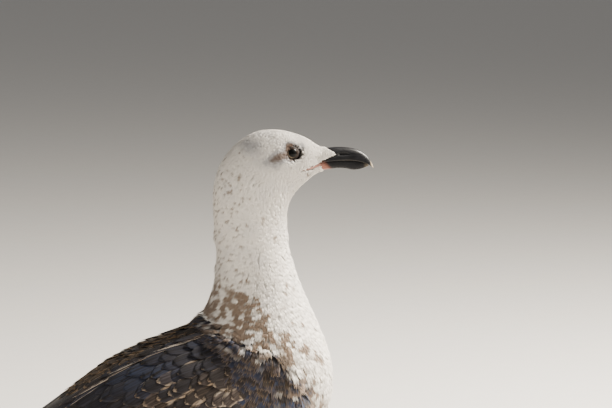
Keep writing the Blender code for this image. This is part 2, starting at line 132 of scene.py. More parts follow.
# The folded wings: ends of the line inside them, from the crown, rows and turns of the grid that
# lies over each, and the degrees that it spans from the top of the back to under the wing.
SHEET_START, SHEET_END = (22, -230), (-360, -364)
SHEET_ROWS, SHEET_TURNS = 120, 70
SHEET_TURN = (4.0, 150.0)
# Behind the first of these the coat may run past the skin's end, and behind the second it stays.
TAIL_BASE, SKIN_END = -70 * MM, -112 * MM
# Large odd numbers that scatter the noise's cells.
SCATTER = np.array([73856093, 19349663, 83492791])
SCATTER_SEED, SCATTER_LAST = 2654435761, 1274126177


# ---------------------------------------------------------------- settings


def millimetres(name, description, default):
    return bpy.props.FloatProperty(name=name, description=description, default=default * MM, unit="LENGTH")


def colour(name, description, default):
    return bpy.props.FloatVectorProperty(
        name=name, description=description, default=default, subtype="COLOR", size=3, min=0, max=1
    )


class GullPlumageSettings(bpy.types.PropertyGroup):
    skin_voxel: millimetres("Skin detail", "Size of the cells that the skin is remeshed to", 2.0)
    leg_voxel: millimetres("Leg detail", "Size of the cells that the bare legs are remeshed to", 0.75)
    white: colour("White", "Head, neck and breast feathers", (0.82, 0.77, 0.70))
    # Grey for random clouding of the white feathers, and for painted shade: at the feather roots and in the
    # grey sky-lit patches of the head.
    shade: colour("Soft grey", "Cool tinge of the white feathers", (0.50, 0.50, 0.53))
    streak: colour("Streak", "Brown marks on the white feathers", (0.145, 0.085, 0.046))
    dusky: colour("Dusky", "Smudges round the eye", (0.12, 0.08, 0.06))
    dark: colour("Dark brown", "Centres of the back and wing feathers", (0.019, 0.015, 0.013))
    # Grey of the newer back feathers; its blue tinge is painted sky-lit shade.
    grey_and_sky_shade: colour("Blue grey", "Newer grey feathers of the back", (0.028, 0.038, 0.072))
    buff: colour("Buff", "Fringes of the back and wing feathers", (0.30, 0.205, 0.125))
    quill: colour("Quill black", "Flight feathers", (0.022, 0.018, 0.017))
    seed: bpy.props.IntProperty(name="Seed", description="Which feathers differ and how", default=7)


class GullBareSettings(bpy.types.PropertyGroup):
    horn: colour("Bill", "Black horn of the bill", (0.0045, 0.0045, 0.0055))
    gape: colour("Gape", "Pinkish base of the lower bill", (0.25, 0.105, 0.075))
    leg: colour("Leg", "Flesh-coloured leg skin", (0.50, 0.33, 0.26))
    iris: colour("Iris", "Pale ring of the eye", (0.26, 0.21, 0.15))
    lid: colour("Lid", "Bare rim of the eye", (0.014, 0.011, 0.010))


class GullStageSettings(bpy.types.PropertyGroup):
    floor: colour("Floor", "Plain floor", (0.70, 0.68, 0.65))
    azimuth: bpy.props.FloatProperty(
        name="Azimuth", description="Camera's turn round the bird", default=math.radians(-8), subtype="ANGLE"
    )
    elevation: bpy.props.FloatProperty(
        name="Elevation", description="Camera's height as an angle", default=math.radians(7), subtype="ANGLE"
    )
    distance: bpy.props.FloatProperty(
        name="Distance", description="Camera to the bird", default=3.2, unit="LENGTH"
    )
    width: bpy.props.FloatProperty(
        name="Width", description="Width of the view at the bird", default=0.5508, unit="LENGTH"
    )
    key: bpy.props.FloatProperty(
        name="Key", description="Strength of the main light, in watts", default=300.0
    )
    fill: bpy.props.FloatProperty(
        name="Fill", description="Strength of the soft light, in watts", default=14.0
    )


def plumage():
    return bpy.context.scene.gull_plumage


def bare():
    return bpy.context.scene.gull_bare


# ---------------------------------------------------------------- numbers as arrays


def unit(vectors):
    return vectors / np.maximum(np.linalg.norm(vectors, axis=-1, keepdims=True), 1e-12)


def from_crown_mm(points):
    """Millimetres forward, to the left and above the crown, each as an array."""
    return ((points - np.array(CROWN)) / MM).T


def to_left(points):
    """The points, with those on the right mirrored to the left."""
    return np.stack([points[:, 0], np.abs(points[:, 1]), points[:, 2]], axis=1)


def blob(x, z, x0, z0, wide, high):
    """1 at (x0, z0), falling to 0 over wide and high."""
    return np.exp(-(((x - x0) / wide) ** 2) - (((z - z0) / high) ** 2))


def smoothstep(low, high, value):
    t = np.clip((value - low) / (high - low), 0.0, 1.0)
    return t * t * (3 - 2 * t)


def smooth_line(points, count):
    """Evenly spaced points on a Catmull-Rom curve through the given ones."""
    points = np.asarray(points, float)
    padded = np.vstack([2 * points[0] - points[1], points, 2 * points[-1] - points[-2]])
    t = np.linspace(0, len(points) - 1, count * 4)
    i = np.minimum(t.astype(int), len(points) - 2)
    u = (t - i)[:, None]
    a, b, c, d = padded[i], padded[i + 1], padded[i + 2], padded[i + 3]
    curve = 0.5 * (2 * b + (c - a) * u + (2 * a - 5 * b + 4 * c - d) * u**2 + (3 * b - a - 3 * c + d) * u**3)
    reach = np.concatenate([[0], np.cumsum(np.linalg.norm(np.diff(curve, axis=0), axis=1))])
    even = np.linspace(0, reach[-1], count)
    return np.stack([np.interp(even, reach, curve[:, k]) for k in range(points.shape[1])], axis=1), even


SPINE_POINTS, SPINE_REACH = smooth_line([from_crown(x, z) for x, z in SPINE], 240)
SPINE_RUN = unit(np.gradient(SPINE_POINTS, axis=0))
SPINE_FRONT = np.stack([-SPINE_RUN[:, 2], np.zeros(len(SPINE_RUN)), SPINE_RUN[:, 0]], axis=1)
COAT_TABLE = np.array(COAT, float)
MOUTH_POINTS = smooth_line(MOUTH, 200)[0]
UPPER_LINE = smooth_line(UPPER_BILL, 200)[0]
LOWER_LINE = smooth_line(LOWER_BILL, 200)[0]


def noise3(points, scale, seed=0):
    """Smooth value noise from 0 to 1 at points, one cell to a scale of metres."""
    p = np.asarray(points) / scale + seed * 17.31
    base = np.floor(p).astype(np.int64)
    f = p - base
    f = f * f * (3 - 2 * f)
    total = np.zeros(len(p))
    for corner in range(8):
        offset = np.array([(corner >> k) & 1 for k in range(3)])
        cell = (base + offset) * SCATTER
        mixed = (cell[:, 0] ^ cell[:, 1] ^ cell[:, 2]) + seed * SCATTER_SEED
        mixed = (mixed ^ (mixed >> 13)) * SCATTER_LAST
        value = ((mixed ^ (mixed >> 16)) & 0xFFFF) / 65535.0
        total += value * np.prod(np.where(offset, f, 1 - f), axis=1)
    return total


def along_spine(points):
    """For each point: metres along the spine, the spine's run and its front there, and the nearest point."""
    near = np.empty(len(points), int)
    size = 20000
    for start in range(0, len(points), size):
        some = points[start : start + size]
        gaps = ((some[:, None, :] - SPINE_POINTS[None]) ** 2).sum(axis=2)
        near[start : start + size] = gaps.argmin(axis=1)
    return SPINE_REACH[near], SPINE_RUN[near], SPINE_FRONT[near], SPINE_POINTS[near]


def coat_at(reach, column):
    return np.interp(reach / MM, COAT_TABLE[:, 0], COAT_TABLE[:, column])


def inside_dark(points):
    """Millimetres inside the edge of the dark back and wings, negative on the white parts."""
    x, _, z = from_crown_mm(points)
    edge = smooth_line(DARK_EDGE, 60)[0]
    gaps = (x[:, None] - edge[None, :, 0]) ** 2 + (z[:, None] - edge[None, :, 1]) ** 2
    near = gaps.argmin(axis=1)
    run = np.gradient(edge, axis=0)[near]
    inside = run[:, 0] * (z - edge[near, 1]) - run[:, 1] * (x - edge[near, 0])
    distance = np.sqrt(gaps.min(axis=1)) * np.sign(-inside)
    # Behind the last point of the edge, the wing's lower edge parts dark from white.
    below = z - np.interp(x, (-240, -60, 0), (-338, -300, -284))
    return np.where(x < 0, np.minimum(np.where(x < -66, 40, distance), below), distance)


def dark_share(points):
    """1 on the dark back and wings, 0 on the white head, neck, breast and belly."""
    return smoothstep(-4, 4, inside_dark(points) + 9 * (noise3(points, 0.007, 31) - 0.5))


def lie_of_coat(points, normals):
    """Unit vectors along which the feathers lie, in the plane of the skin."""
    reach, run, front, middle = along_spine(points)
    s = reach / MM
    ahead = ((points - middle) * front).sum(axis=1) / MM
    fan = coat_at(reach, 5) * np.clip(ahead / 45.0, -1, 1)
    # Round the hind neck the feathers sweep back as well as down.
    sweep = -0.55 * smoothstep(70, 100, s) * (1 - smoothstep(165, 200, s)) * (1 - smoothstep(-22, 8, ahead))
    sweep = sweep * smoothstep(6, 20, np.abs(points[:, 1]) / MM)
    lie = run + front * (fan + sweep)[:, None]
    lie = lie - normals * (lie * normals).sum(axis=1)[:, None]
    return unit(lie)


# ---------------------------------------------------------------- meshes


def new_object(name, mesh):
    obj = bpy.data.objects.new(name, mesh)
    bpy.context.scene.collection.objects.link(obj)
    return obj


def object_from_bmesh(name, bm):
    mesh = bpy.data.meshes.new(name)
    bm.to_mesh(mesh)
    bm.free()
    mesh.shade_smooth()
    return new_object(name, mesh)


def wrapped_sheet(columns, rows, shape):
    """A grid laid over shape(u, v), u and v from 0 to 1, with its seam and poles merged."""
    bm = bmesh.new()
    bmesh.ops.create_grid(bm, x_segments=columns, y_segments=rows, size=0.5)
    for vertex in bm.verts:
        vertex.co = shape(vertex.co.x + 0.5, vertex.co.y + 0.5)
    bmesh.ops.remove_doubles(bm, verts=bm.verts, dist=1e-6)
    bmesh.ops.recalc_face_normals(bm, faces=bm.faces)
    return bm


def capped_sheet(columns, rows, shape):
    """A wrapped sheet with its open ends filled."""
    bm = wrapped_sheet(columns, rows, shape)
    bmesh.ops.holes_fill(bm, edges=[e for e in bm.edges if e.is_boundary], sides=0)
    bmesh.ops.recalc_face_normals(bm, faces=bm.faces)
    return bm


def together(meshes):
    """One bmesh from several, which are used up."""
    whole = bmesh.new()
    for bm in meshes:
        part = bpy.data.meshes.new("part")
        bm.to_mesh(part)
        bm.free()
        whole.from_mesh(part)
        bpy.data.meshes.remove(part)
    whole.verts.index_update()
    return whole


def arrays_of(bm):
    """A triangulated bmesh's points and faces as arrays; the bmesh is used up."""
    bmesh.ops.triangulate(bm, faces=bm.faces)
    bm.verts.index_update()
    points = np.array([v.co for v in bm.verts])
    faces = np.array([[v.index for v in face.verts] for face in bm.faces])
    bm.free()
    return points, faces


def points_of(obj):
    return np.array([v.co for v in obj.data.vertices])


def grown_copy(name, growth):
    """A merged copy of a CAD node, moved out by growth, so that neighbours overlap."""
    bm = bmesh.new()
    bm.from_mesh(NODES[name].data)
    bmesh.ops.remove_doubles(bm, verts=bm.verts, dist=1e-6)
    bm.normal_update()
    moved = [(v, v.normal * growth) for v in bm.verts]
    for vertex, step in moved:
        vertex.co += step
    return bm


def remeshed(bm, voxel):
    """The bmesh, remade as one even closed skin."""
    obj = object_from_bmesh("remesh", bm)
    modifier = obj.modifiers.new("even", "REMESH")
    modifier.mode = "VOXEL"
    modifier.voxel_size = voxel
    graph = bpy.context.evaluated_depsgraph_get()
    made = bmesh.new()
    made.from_object(obj, graph)
    bpy.data.objects.remove(obj)
    return made


def soften(bm, times, factor=0.5):
    for _ in range(times):
        bmesh.ops.smooth_vert(
            bm, verts=bm.verts, factor=factor, use_axis_x=True, use_axis_y=True, use_axis_z=True
        )


def points_and_normals(bm):
    bm.normal_update()
    return np.array([v.co for v in bm.verts]), np.array([v.normal for v in bm.verts])


def move_to(bm, points):
    for vertex, point in zip(bm.verts, points):
        vertex.co = point


def largest_piece(bm):
    """Drops every loose bit of a remesh but the biggest."""
    bm.verts.ensure_lookup_table()
    seen, groups = set(), []
    for start in bm.verts:
        if start.index in seen:
            continue
        stack, group = [start], []
        seen.add(start.index)
        while stack:
            vertex = stack.pop()
            group.append(vertex)
            for edge in vertex.link_edges:
                other = edge.other_vert(vertex)
                if other.index not in seen:
                    seen.add(other.index)
                    stack.append(other)
        groups.append(group)
    groups.sort(key=len)
    stray = [vertex for group in groups[:-1] for vertex in group]
    bmesh.ops.delete(bm, geom=stray, context="VERTS")
    return bm


def set_vectors(mesh, name, values):
    attribute = mesh.attributes.new(name, "FLOAT_VECTOR", "POINT")
    attribute.data.foreach_set("vector", np.asarray(values, np.float32).ravel())


def finished(obj, slot, *solids, material=None):
    """Rides on the body, stands for the named solids and takes its material; slot is not used."""
    if material:
        obj.data.materials.append(material)
    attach(obj, "root")
    if solids:
        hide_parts(*solids)
    return obj


# ---------------------------------------------------------------- materials


class Nodes:
    """Short calls for building one material's node tree."""

    def __init__(self, name, roughness=0.6, **sockets):
        self.material = bpy.data.materials.new(name)
        self.material.use_nodes = True
        self.tree = self.material.node_tree
        self.shader = self.tree.nodes["Principled BSDF"]
        self.shader.inputs["Roughness"].default_value = roughness
        for socket, value in sockets.items():
            self.shader.inputs[socket.replace("_", " ")].default_value = value

    def add(self, kind, **settings):
        node = self.tree.nodes.new(f"ShaderNode{kind}")
        for key, value in settings.items():
            setattr(node, key, value)
        return node

    def put(self, socket, value):
        if isinstance(value, bpy.types.NodeSocket):
            self.tree.links.new(value, socket)
        else:
            socket.default_value = (*value, 1.0) if socket.type == "RGBA" else value

    def math(self, operation, a, b=0.0, c=0.0, clamp=False):
        node = self.add("Math", operation=operation, use_clamp=clamp)
        for socket, value in zip(node.inputs, (a, b, c)):
            self.put(socket, value)
        return node.outputs[0]

    def times(self, a, b, plus=0.0):
        """a * b + plus"""
        return self.math("MULTIPLY_ADD", a, b, plus)

    def ramp(self, value, low, high, to_low=0.0, to_high=1.0):
        node = self.add("MapRange", interpolation_type="SMOOTHSTEP")
        for socket, given in zip(node.inputs, (value, low, high, to_low, to_high)):
            self.put(socket, given)
        return node.outputs[0]

    def mix(self, factor, a, b):
        node = self.add("Mix", data_type="RGBA")
        for index, value in ((0, factor), (6, a), (7, b)):
            self.put(node.inputs[index], value)
        return node.outputs[2]

    def attribute(self, name):
        return self.add("Attribute", attribute_name=name).outputs["Vector"]

    def numbers(self, name):
        """The three numbers of an attribute."""
        split = self.add("SeparateXYZ")
        self.put(split.inputs[0], self.attribute(name))
        return split.outputs

    def place(self):
        return self.add("TexCoord").outputs["Object"]

    def stretched(self, vector, scale):
        node = self.add("Mapping")
        self.put(node.inputs["Vector"], vector)
        node.inputs["Scale"].default_value = scale
        return node.outputs[0]

    def noise(self, vector, scale, detail=2.0, roughness=0.5):
        node = self.add("TexNoise")
        self.put(node.inputs["Vector"], vector)
        node.inputs["Scale"].default_value = scale
        node.inputs["Detail"].default_value = detail
        node.inputs["Roughness"].default_value = roughness
        return node.outputs["Fac"]

    def bump(self, height, strength, distance):
        node = self.add("Bump")
        node.inputs["Strength"].default_value = strength
        node.inputs["Distance"].default_value = distance
        self.put(node.inputs["Height"], height)
        self.put(self.shader.inputs["Normal"], node.outputs[0])

    def base(self, value):
        self.put(self.shader.inputs["Base Color"], value)


def barbs(nodes, across, along, seed, count):
    """Fine ridges that slant from a feather's shaft to its edge, and the shaft."""
    edge = nodes.math("ABSOLUTE", across)
    slant = nodes.times(edge, -0.35, along)
    phase = nodes.times(slant, count, nodes.times(seed, 9.0))
    wave = nodes.math("SINE", nodes.times(phase, 2 * math.pi))
    shaft = nodes.ramp(edge, 0.0, 0.09, 1.0, 0.0)
    return nodes.times(wave, 0.22, nodes.times(shaft, 0.8)), shaft


def clouded_white(nodes, paint, root):
    return nodes.mix(nodes.ramp(nodes.noise(root, 60.0, 3.0), 0.45, 0.75, 0.0, 0.3), paint.white, paint.shade)


def body_plumage_material():
    """White feathers with brown shaft marks and painted shade, and dark, pale-fringed ones on the back."""
    paint = plumage()
    nodes = Nodes(
        "body_plumage", roughness=0.85, Specular_IOR_Level=0.2, Sheen_Weight=0.1, Sheen_Roughness=0.5
    )
    root = nodes.attribute("root")
    across, along, seed = nodes.numbers("vane")
    dark, streaked, dusky = nodes.numbers("mark")
    edge = nodes.math("ABSOLUTE", across)
    # Greyer towards each feather's root: painted shade where the feathers overlap.
    white = nodes.mix(nodes.ramp(along, 0.0, 0.45, 0.2, 0.0), clouded_white(nodes, paint, root), paint.shade)
    drop = nodes.times(nodes.ramp(along, 0.3, 0.6, 0.0, 0.9), nodes.ramp(edge, 0.6, 1.1, 1.0, 0.6))
    pale = nodes.mix(nodes.times(drop, streaked), white, paint.streak)
    # Low values of the dusky mark give the painted sky-lit grey shade, higher ones the dusky brown.
    pale = nodes.mix(nodes.ramp(dusky, 0.0, 0.35, 0.0, 0.75), pale, paint.shade * 0.62)
    pale = nodes.mix(nodes.ramp(dusky, 0.3, 1.0), pale, paint.dusky)
    lot = nodes.math("FRACT", nodes.times(seed, 7.13))
    tone = nodes.times(nodes.noise(root, 28.0, 2.0), 0.9, nodes.times(lot, 0.45))
    # Centres run from dark brown to the back's grey, whose blue tinge is painted sky-lit shade.
    centre = nodes.mix(nodes.ramp(tone, 0.35, 1.05), paint.dark, paint.grey_and_sky_shade)
    rim = nodes.times(nodes.ramp(edge, 0.5, 0.95), 0.3)
    fringe = nodes.math("MAXIMUM", rim, nodes.ramp(along, 0.66, 1.0, 0.0, 0.85))
    bold = nodes.times(streaked, 0.5, nodes.ramp(seed, 0.0, 1.0, 0.05, 0.5))
    back = nodes.mix(nodes.times(fringe, bold), centre, paint.buff)
    nodes.base(nodes.mix(dark, pale, back))
    return nodes.material


def covert_material():
    """Wing coverts and scapulars: dark or grey centres, the grey's blue tinge painted sky-lit shade, wavy
    inner marks and pale fringes.
    """
    paint = plumage()
    nodes = Nodes(
        "wing_coverts", roughness=0.75, Specular_IOR_Level=0.18, Sheen_Weight=0.04, Sheen_Roughness=0.5
    )
    vector = nodes.attribute("vane")
    across, along, seed = nodes.numbers("vane")
    greyer, fringed, paler = nodes.numbers("mark")
    hairs = nodes.math("SUBTRACT", nodes.noise(nodes.stretched(vector, (6.0, 1.6, 31.0)), 1.0, 3.0), 0.5)
    wavy = nodes.math("SUBTRACT", nodes.noise(vector, 4.0, 3.0), 0.5)
    uneven = nodes.times(wavy, 0.5, nodes.times(hairs, 0.35))
    edge = nodes.math("ADD", uneven, nodes.math("ABSOLUTE", across))
    dark = nodes.mix(nodes.ramp(edge, 0.0, 0.9), paint.dark, paint.dark * 1.9)
    patch = nodes.ramp(nodes.noise(nodes.attribute("root"), 70.0, 3.0), 0.38, 0.62)
    dark = nodes.mix(nodes.times(nodes.times(fringed, fringed), patch), dark, paint.buff * 0.5)
    # Grey centres, their blue tinge painted sky-lit shade.
    centre = nodes.mix(greyer, dark, paint.grey_and_sky_shade)
    centre = nodes.mix(nodes.ramp(hairs, -0.2, 0.25), centre, paint.dark * 0.6)
    rim = nodes.ramp(nodes.math("SUBTRACT", edge, nodes.times(fringed, -0.42, 0.92)), 0.0, 0.22)
    past_tip = nodes.math("SUBTRACT", nodes.times(uneven, 0.4, along), nodes.times(fringed, -0.09, 0.96))
    fringe = nodes.math("MAXIMUM", rim, nodes.ramp(past_tip, 0.0, 0.09))
    fringe = nodes.times(fringe, nodes.ramp(fringed, 0.0, 0.7, 0.25, 0.9))
    shown = nodes.mix(fringe, centre, nodes.mix(paler, paint.buff, paint.white))
    ridges, shaft = barbs(nodes, across, along, seed, 44.0)
    nodes.base(nodes.mix(nodes.times(shaft, 0.35), shown, paint.dark * 0.5))
    nodes.bump(nodes.times(hairs, 2.5, ridges), 0.35, 0.0004)
    return nodes.material


def flight_material():
    """Quills: near black, slightly glossy, with pale tips and fringes."""
    paint = plumage()
    nodes = Nodes("flight_feathers", roughness=0.55, Specular_IOR_Level=0.4, Sheen_Weight=0.05)
    across, along, seed = nodes.numbers("vane")
    pale_tip, pale_edge, white_base = nodes.numbers("mark")
    edge = nodes.math("ABSOLUTE", across)
    wavy = nodes.math("SUBTRACT", nodes.noise(nodes.attribute("vane"), 4.0, 3.0), 0.5)
    inner = nodes.mix(nodes.ramp(across, -0.6, 0.9), paint.quill, paint.quill * 2.4)
    tip = nodes.times(nodes.ramp(nodes.times(wavy, 0.05, along), 0.955, 0.985), pale_tip)
    rim = nodes.times(nodes.ramp(nodes.times(wavy, 0.4, edge), 0.74, 0.94), pale_edge)
    band = nodes.ramp(nodes.times(wavy, 0.12, along), 0.60, 0.70, 1.0, 0.0)
    shown = nodes.mix(nodes.times(band, white_base), inner, paint.white)
    shown = nodes.mix(nodes.math("MAXIMUM", tip, rim), shown, nodes.mix(0.5, paint.buff, paint.white))
    ridges, shaft = barbs(nodes, across, along, seed, 90.0)
    nodes.base(nodes.mix(nodes.times(shaft, 0.7), shown, paint.quill * 0.6))
    nodes.bump(ridges, 0.35, 0.0004)
    return nodes.material


def skin_material():
    """Skin under the coat, with the coat's own markings and its painted grey shade."""
    paint = plumage()
    nodes = Nodes("feathered_skin", roughness=0.85, Specular_IOR_Level=0.2)
    root = nodes.attribute("root")
    dark, streaked, dusky = nodes.numbers("mark")
    fleck = nodes.ramp(nodes.noise(root, 420.0, 2.0), 0.55, 0.66)
    white = nodes.mix(nodes.times(fleck, streaked), clouded_white(nodes, paint, root), paint.streak)
    # The dusky mark also carries the painted grey shade, here taken towards dusky brown.
    white = nodes.mix(nodes.times(dusky, 0.85), white, paint.dusky)
    # Dark brown to the back's grey, its blue tinge painted sky-lit shade.
    back = nodes.mix(nodes.ramp(nodes.noise(root, 28.0, 2.0), 0.40, 0.62), paint.dark, paint.grey_and_sky_shade)
    nodes.base(nodes.mix(dark, white, back))
    nodes.bump(nodes.noise(root, 900.0, 3.0), 0.3, 0.0004)
    return nodes.material


def leg_material():
    """Scaled leg skin: a fine net of scales, with darker blotches."""
    paint = bare()
    nodes = Nodes(
        "leg_skin", roughness=0.5, Specular_IOR_Level=0.45, Subsurface_Weight=0.08, Subsurface_Scale=0.002
    )
    place = nodes.place()
    cells = nodes.add("TexVoronoi", feature="DISTANCE_TO_EDGE")
    nodes.put(cells.inputs["Vector"], place)
    cells.inputs["Scale"].default_value = 620.0
    scales = nodes.ramp(cells.outputs["Distance"], 0.0, 0.12)
    blotch = nodes.ramp(nodes.noise(place, 90.0, 4.0), 0.35, 0.7, 0.0, 0.5)
    tone = nodes.mix(blotch, paint.leg, paint.leg * 0.62)
    nodes.base(nodes.mix(nodes.math("SUBTRACT", 1.0, scales, clamp=True), tone, paint.leg * 0.5))
    nodes.bump(scales, 0.5, 0.0003)
    return nodes.material


def grained_material(name, scale, tone, other, bump, **sockets):
    """A plain material that runs between two tones in fine grains, with a bump of the given strength."""
    nodes = Nodes(name, **sockets)
    grain = nodes.noise(nodes.place(), scale, 3.0)
    nodes.base(nodes.mix(grain, tone, other))
    nodes.bump(grain, bump, 0.0003)
    return nodes.material


def lid_material():
    tone = bare().lid
    return grained_material("eye_lid", 1800.0, tone, tone * 1.6, 0.5, roughness=0.75, Specular_IOR_Level=0.15)


def gape_material():
    tone = bare().gape
    return grained_material(
        "gape", 900.0, tone, tone * 0.6, 0.4,
        roughness=0.42, Specular_IOR_Level=0.45, Subsurface_Weight=0.1, Subsurface_Scale=0.001,
    )


def claw_material():
    dark, light = (0.012, 0.010, 0.010), (0.07, 0.055, 0.045)
    return grained_material("claw_horn", 1200.0, dark, light, 0.2, roughness=0.35, Specular_IOR_Level=0.5)


def horn_material(name, specular, gloss):
    """Bill: black horn, paler at the very tip and along the cutting edges, pinkish at the lower base."""
    paint = bare()
    nodes = Nodes(name, roughness=0.4, Specular_IOR_Level=specular, Coat_Weight=gloss, Coat_Roughness=0.1)
    place = nodes.place()
    grain = nodes.noise(nodes.stretched(place, (0.25, 1.0, 1.0)), 900.0, 4.0, 0.6)
    blotch = nodes.noise(place, 160.0, 3.0)
    pale, pink, _ = nodes.numbers("mark")
    black = nodes.mix(nodes.ramp(blotch, 0.3, 0.8), paint.horn, paint.horn * 2.0)
    shown = nodes.mix(nodes.times(pale, nodes.ramp(grain, 0.2, 0.7, 0.5, 1.0)), black, (0.42, 0.34, 0.24))
    nodes.base(nodes.mix(nodes.times(pink, nodes.ramp(blotch, 0.2, 0.6, 0.6, 1.0)), shown, paint.gape))
    nodes.put(nodes.shader.inputs["Roughness"], nodes.ramp(grain, 0.25, 0.75, 0.3, 0.5))
    nodes.bump(grain, 0.12, 0.0003)
    return nodes.material


def eye_material():
    """Pale iris round a wide black pupil, darkened by painted shade of the brow except low at the rear, under
    a wet clear coat.
    """
    paint = bare()
    nodes = Nodes("eye_wet", roughness=0.4, Specular_IOR_Level=0.05, Coat_Weight=0.16, Coat_Roughness=0.02)
    out, forward, up = nodes.numbers("vane")
    rays = nodes.ramp(nodes.noise(nodes.attribute("vane"), 14.0, 3.0), 0.3, 0.7)
    iris = nodes.mix(rays, paint.iris, paint.iris * 0.45)
    # Painted shade of the brow: the iris is darkened all round but low at the rear.
    low_rear = nodes.times(forward, -0.24, nodes.times(up, -0.2))
    shade = tuple(c * k for c, k in zip(paint.iris, (0.10, 0.07, 0.06)))
    iris = nodes.mix(nodes.ramp(low_rear, 0.0, 0.9), shade, iris)
    iris = nodes.mix(nodes.ramp(out, 0.84, 0.97), iris, (0.03, 0.022, 0.016))
    nodes.base(nodes.mix(nodes.ramp(out, 0.70, 0.75, 1.0, 0.0), iris, (0.001, 0.001, 0.001)))
    return nodes.material


def floor_material():
    tone = bpy.context.scene.gull_stage.floor
    nodes = Nodes("floor", roughness=0.8, Specular_IOR_Level=0.3)
    nodes.base(nodes.mix(nodes.noise(nodes.place(), 40.0, 4.0), tone, tone * 0.95))
    return nodes.material


# ---------------------------------------------------------------- markings


def dark_marks(points, x):
    """Share of the dark back, with white tufts breaking into its edge, most of all on the shoulder."""
    inside = np.maximum(inside_dark(points), 0)
    depth = 9 + 17 * smoothstep(-22, 12, x)
    broken = smoothstep(0.47, 0.60, noise3(points, 0.0045, 33)) * np.exp(-((inside / depth) ** 2))
    return dark_share(points) * (1 - 0.9 * broken)


def streak_marks(points, x):
    """Brown streaks: flecks on the hind neck, patches at the neck's foot and near the dark edge."""
    reach, _, front, middle = along_spine(points)
    s = reach / MM
    ahead = ((points - middle) * front).sum(axis=1) / MM
    side = np.abs(points[:, 1]) / MM
    behind = 1 - smoothstep(-34, 0, ahead)
    near_edge = np.exp(-((np.minimum(inside_dark(points), 0) / 23) ** 2)) * (1 - smoothstep(5, 50, x))
    foot = np.exp(-(((s - 185) / 30) ** 2)) * (1 - smoothstep(-20, 22, ahead))
    flank = smoothstep(150, 200, s) * (1 - smoothstep(300, 360, s)) * smoothstep(8, 30, side)
    spots = 0.28 * smoothstep(105, 150, s) * behind + 1.05 * near_edge + 0.55 * foot + 0.32 * flank
    stretched = points * np.array([1.0, 1.0, 0.5])
    grain = 0.65 * noise3(stretched, 0.0032, 3) + 0.35 * noise3(stretched, 0.0075, 4)
    streaks = smoothstep(0.0, 0.12, grain - (0.80 - 0.40 * np.clip(spots, 0, 1.15)))
    flecks = 0.42 * smoothstep(55, 105, s) * (1 - smoothstep(170, 200, s)) * behind
    fine = 0.75 * (noise3(points, 0.0008, 8) > 0.90 - 0.6 * flecks) * (flecks > 0.02)
    return np.clip(np.maximum(streaks, fine), 0, 1)


def dusky_and_shade_marks(points, x, z):
    """Dusky rim and smear of the eye and dark lines near it, and soft grey patches behind and below it: grey
    feathers with painted sky-lit shade.
    """
    eye_x, eye_z = 19.0, -20.2
    gap = np.hypot(x - eye_x, (z - eye_z) * 1.05)
    rear = smoothstep(-1, 5, eye_x - x)
    dusky = 0.95 * (1 - smoothstep(6.2, 9.2 + 3.4 * rear, gap))
    # The smear runs back and down, and the lines lie over and in front of the eye.
    behind, over = x - 6.4, z + 23.4
    smear = blob(0.91 * behind + 0.41 * over, -0.41 * behind + 0.91 * over, 0, 0, 12.5, 4.6)
    dusky = np.maximum(dusky, np.minimum(smear * (0.70 + 0.75 * noise3(points, 0.0022, 5)), 0.85))
    dusky = dusky + 0.45 * blob(x, z, 14.5, -13.4, 5.0, 2.2) + 0.40 * blob(x, z, 27.4, -15.4, 2.2, 3.2)
    # Painted sky-lit shade, with some grey feathers, on the rear crown and below the smear.
    grey_and_shade_clouds = smoothstep(0.2, 0.75, noise3(points, 0.009, 6))
    grey = np.maximum(grey_and_shade_clouds * blob(x, z, -14, -14, 17, 9), blob(x, z, 1, -31, 6, 4))
    aside = np.abs(points[:, 1]) > 5 * MM
    return np.clip(np.where(aside, np.maximum(dusky, 0.30 * grey), 0), 0, 1)


def marks_at(points):
    """Three masks at each point: dark back, share of streaked feathers, and dusky smudge with painted grey
    shade.
    """
    x, _, z = from_crown_mm(points)
    return np.stack([dark_marks(points, x), streak_marks(points, x), dusky_and_shade_marks(points, x, z)], axis=1)


# ---------------------------------------------------------------- skin


def near_leg(points):
    """1 where a leg leaves the belly's feathers, falling to 0 some way off."""
    gap = np.linalg.norm(to_left(points) - np.array(LEG_TOP), axis=1)
    return 1 - smoothstep(9 * MM, 30 * MM, gap)


def coat_depth(points):
    """How far the skin lies inside the outline of the feathers."""
    reach, _, _, _ = along_spine(points)
    depth = coat_at(reach, 4) * MM
    gap = np.linalg.norm(to_left(points) - np.array(EYE_AT), axis=1)
    depth = depth * (0.45 + 0.55 * smoothstep(6.5 * MM, 11 * MM, gap))
    depth = depth * (1 - 0.86 * near_leg(points)) * (1 - 0.78 * smoothstep(85 * MM, 125 * MM, -points[:, 0]))
    wings = dark_share(points)
    return depth * (1 - wings) + np.minimum(depth, 4.0 * MM) * wings


def bill_radius(x, turn):
    """Millimetres from the bill's middle line to its surface, near its base."""
    count, length = 12, 18
    turns = np.linspace(-math.pi, math.pi, 181)
    table = []
    for station in np.linspace(BILL_BASE, BILL_BASE + length, count + 1):
        ring = []
        for spin in np.linspace(-math.pi, math.pi, 361):
            _, y, z, _, _ = bill_point(math.sin(spin) >= 0, station, spin)
            ring.append((math.atan2(z - BILL_MIDDLE, y), math.hypot(y, z - BILL_MIDDLE)))
        ring = np.array(sorted(ring))
        table.append(np.interp(turns, ring[:, 0], ring[:, 1]))
    place = np.clip((x - BILL_BASE) / length, 0, 1) * count
    index = np.minimum(place.astype(int), count - 1)
    share = place - index
    near, far = [
        np.array([np.interp(t, turns, table[k]) for t, k in zip(turn, picked)])
        for picked in (index, index + 1)
    ]
    return near * (1 - share) + far * share


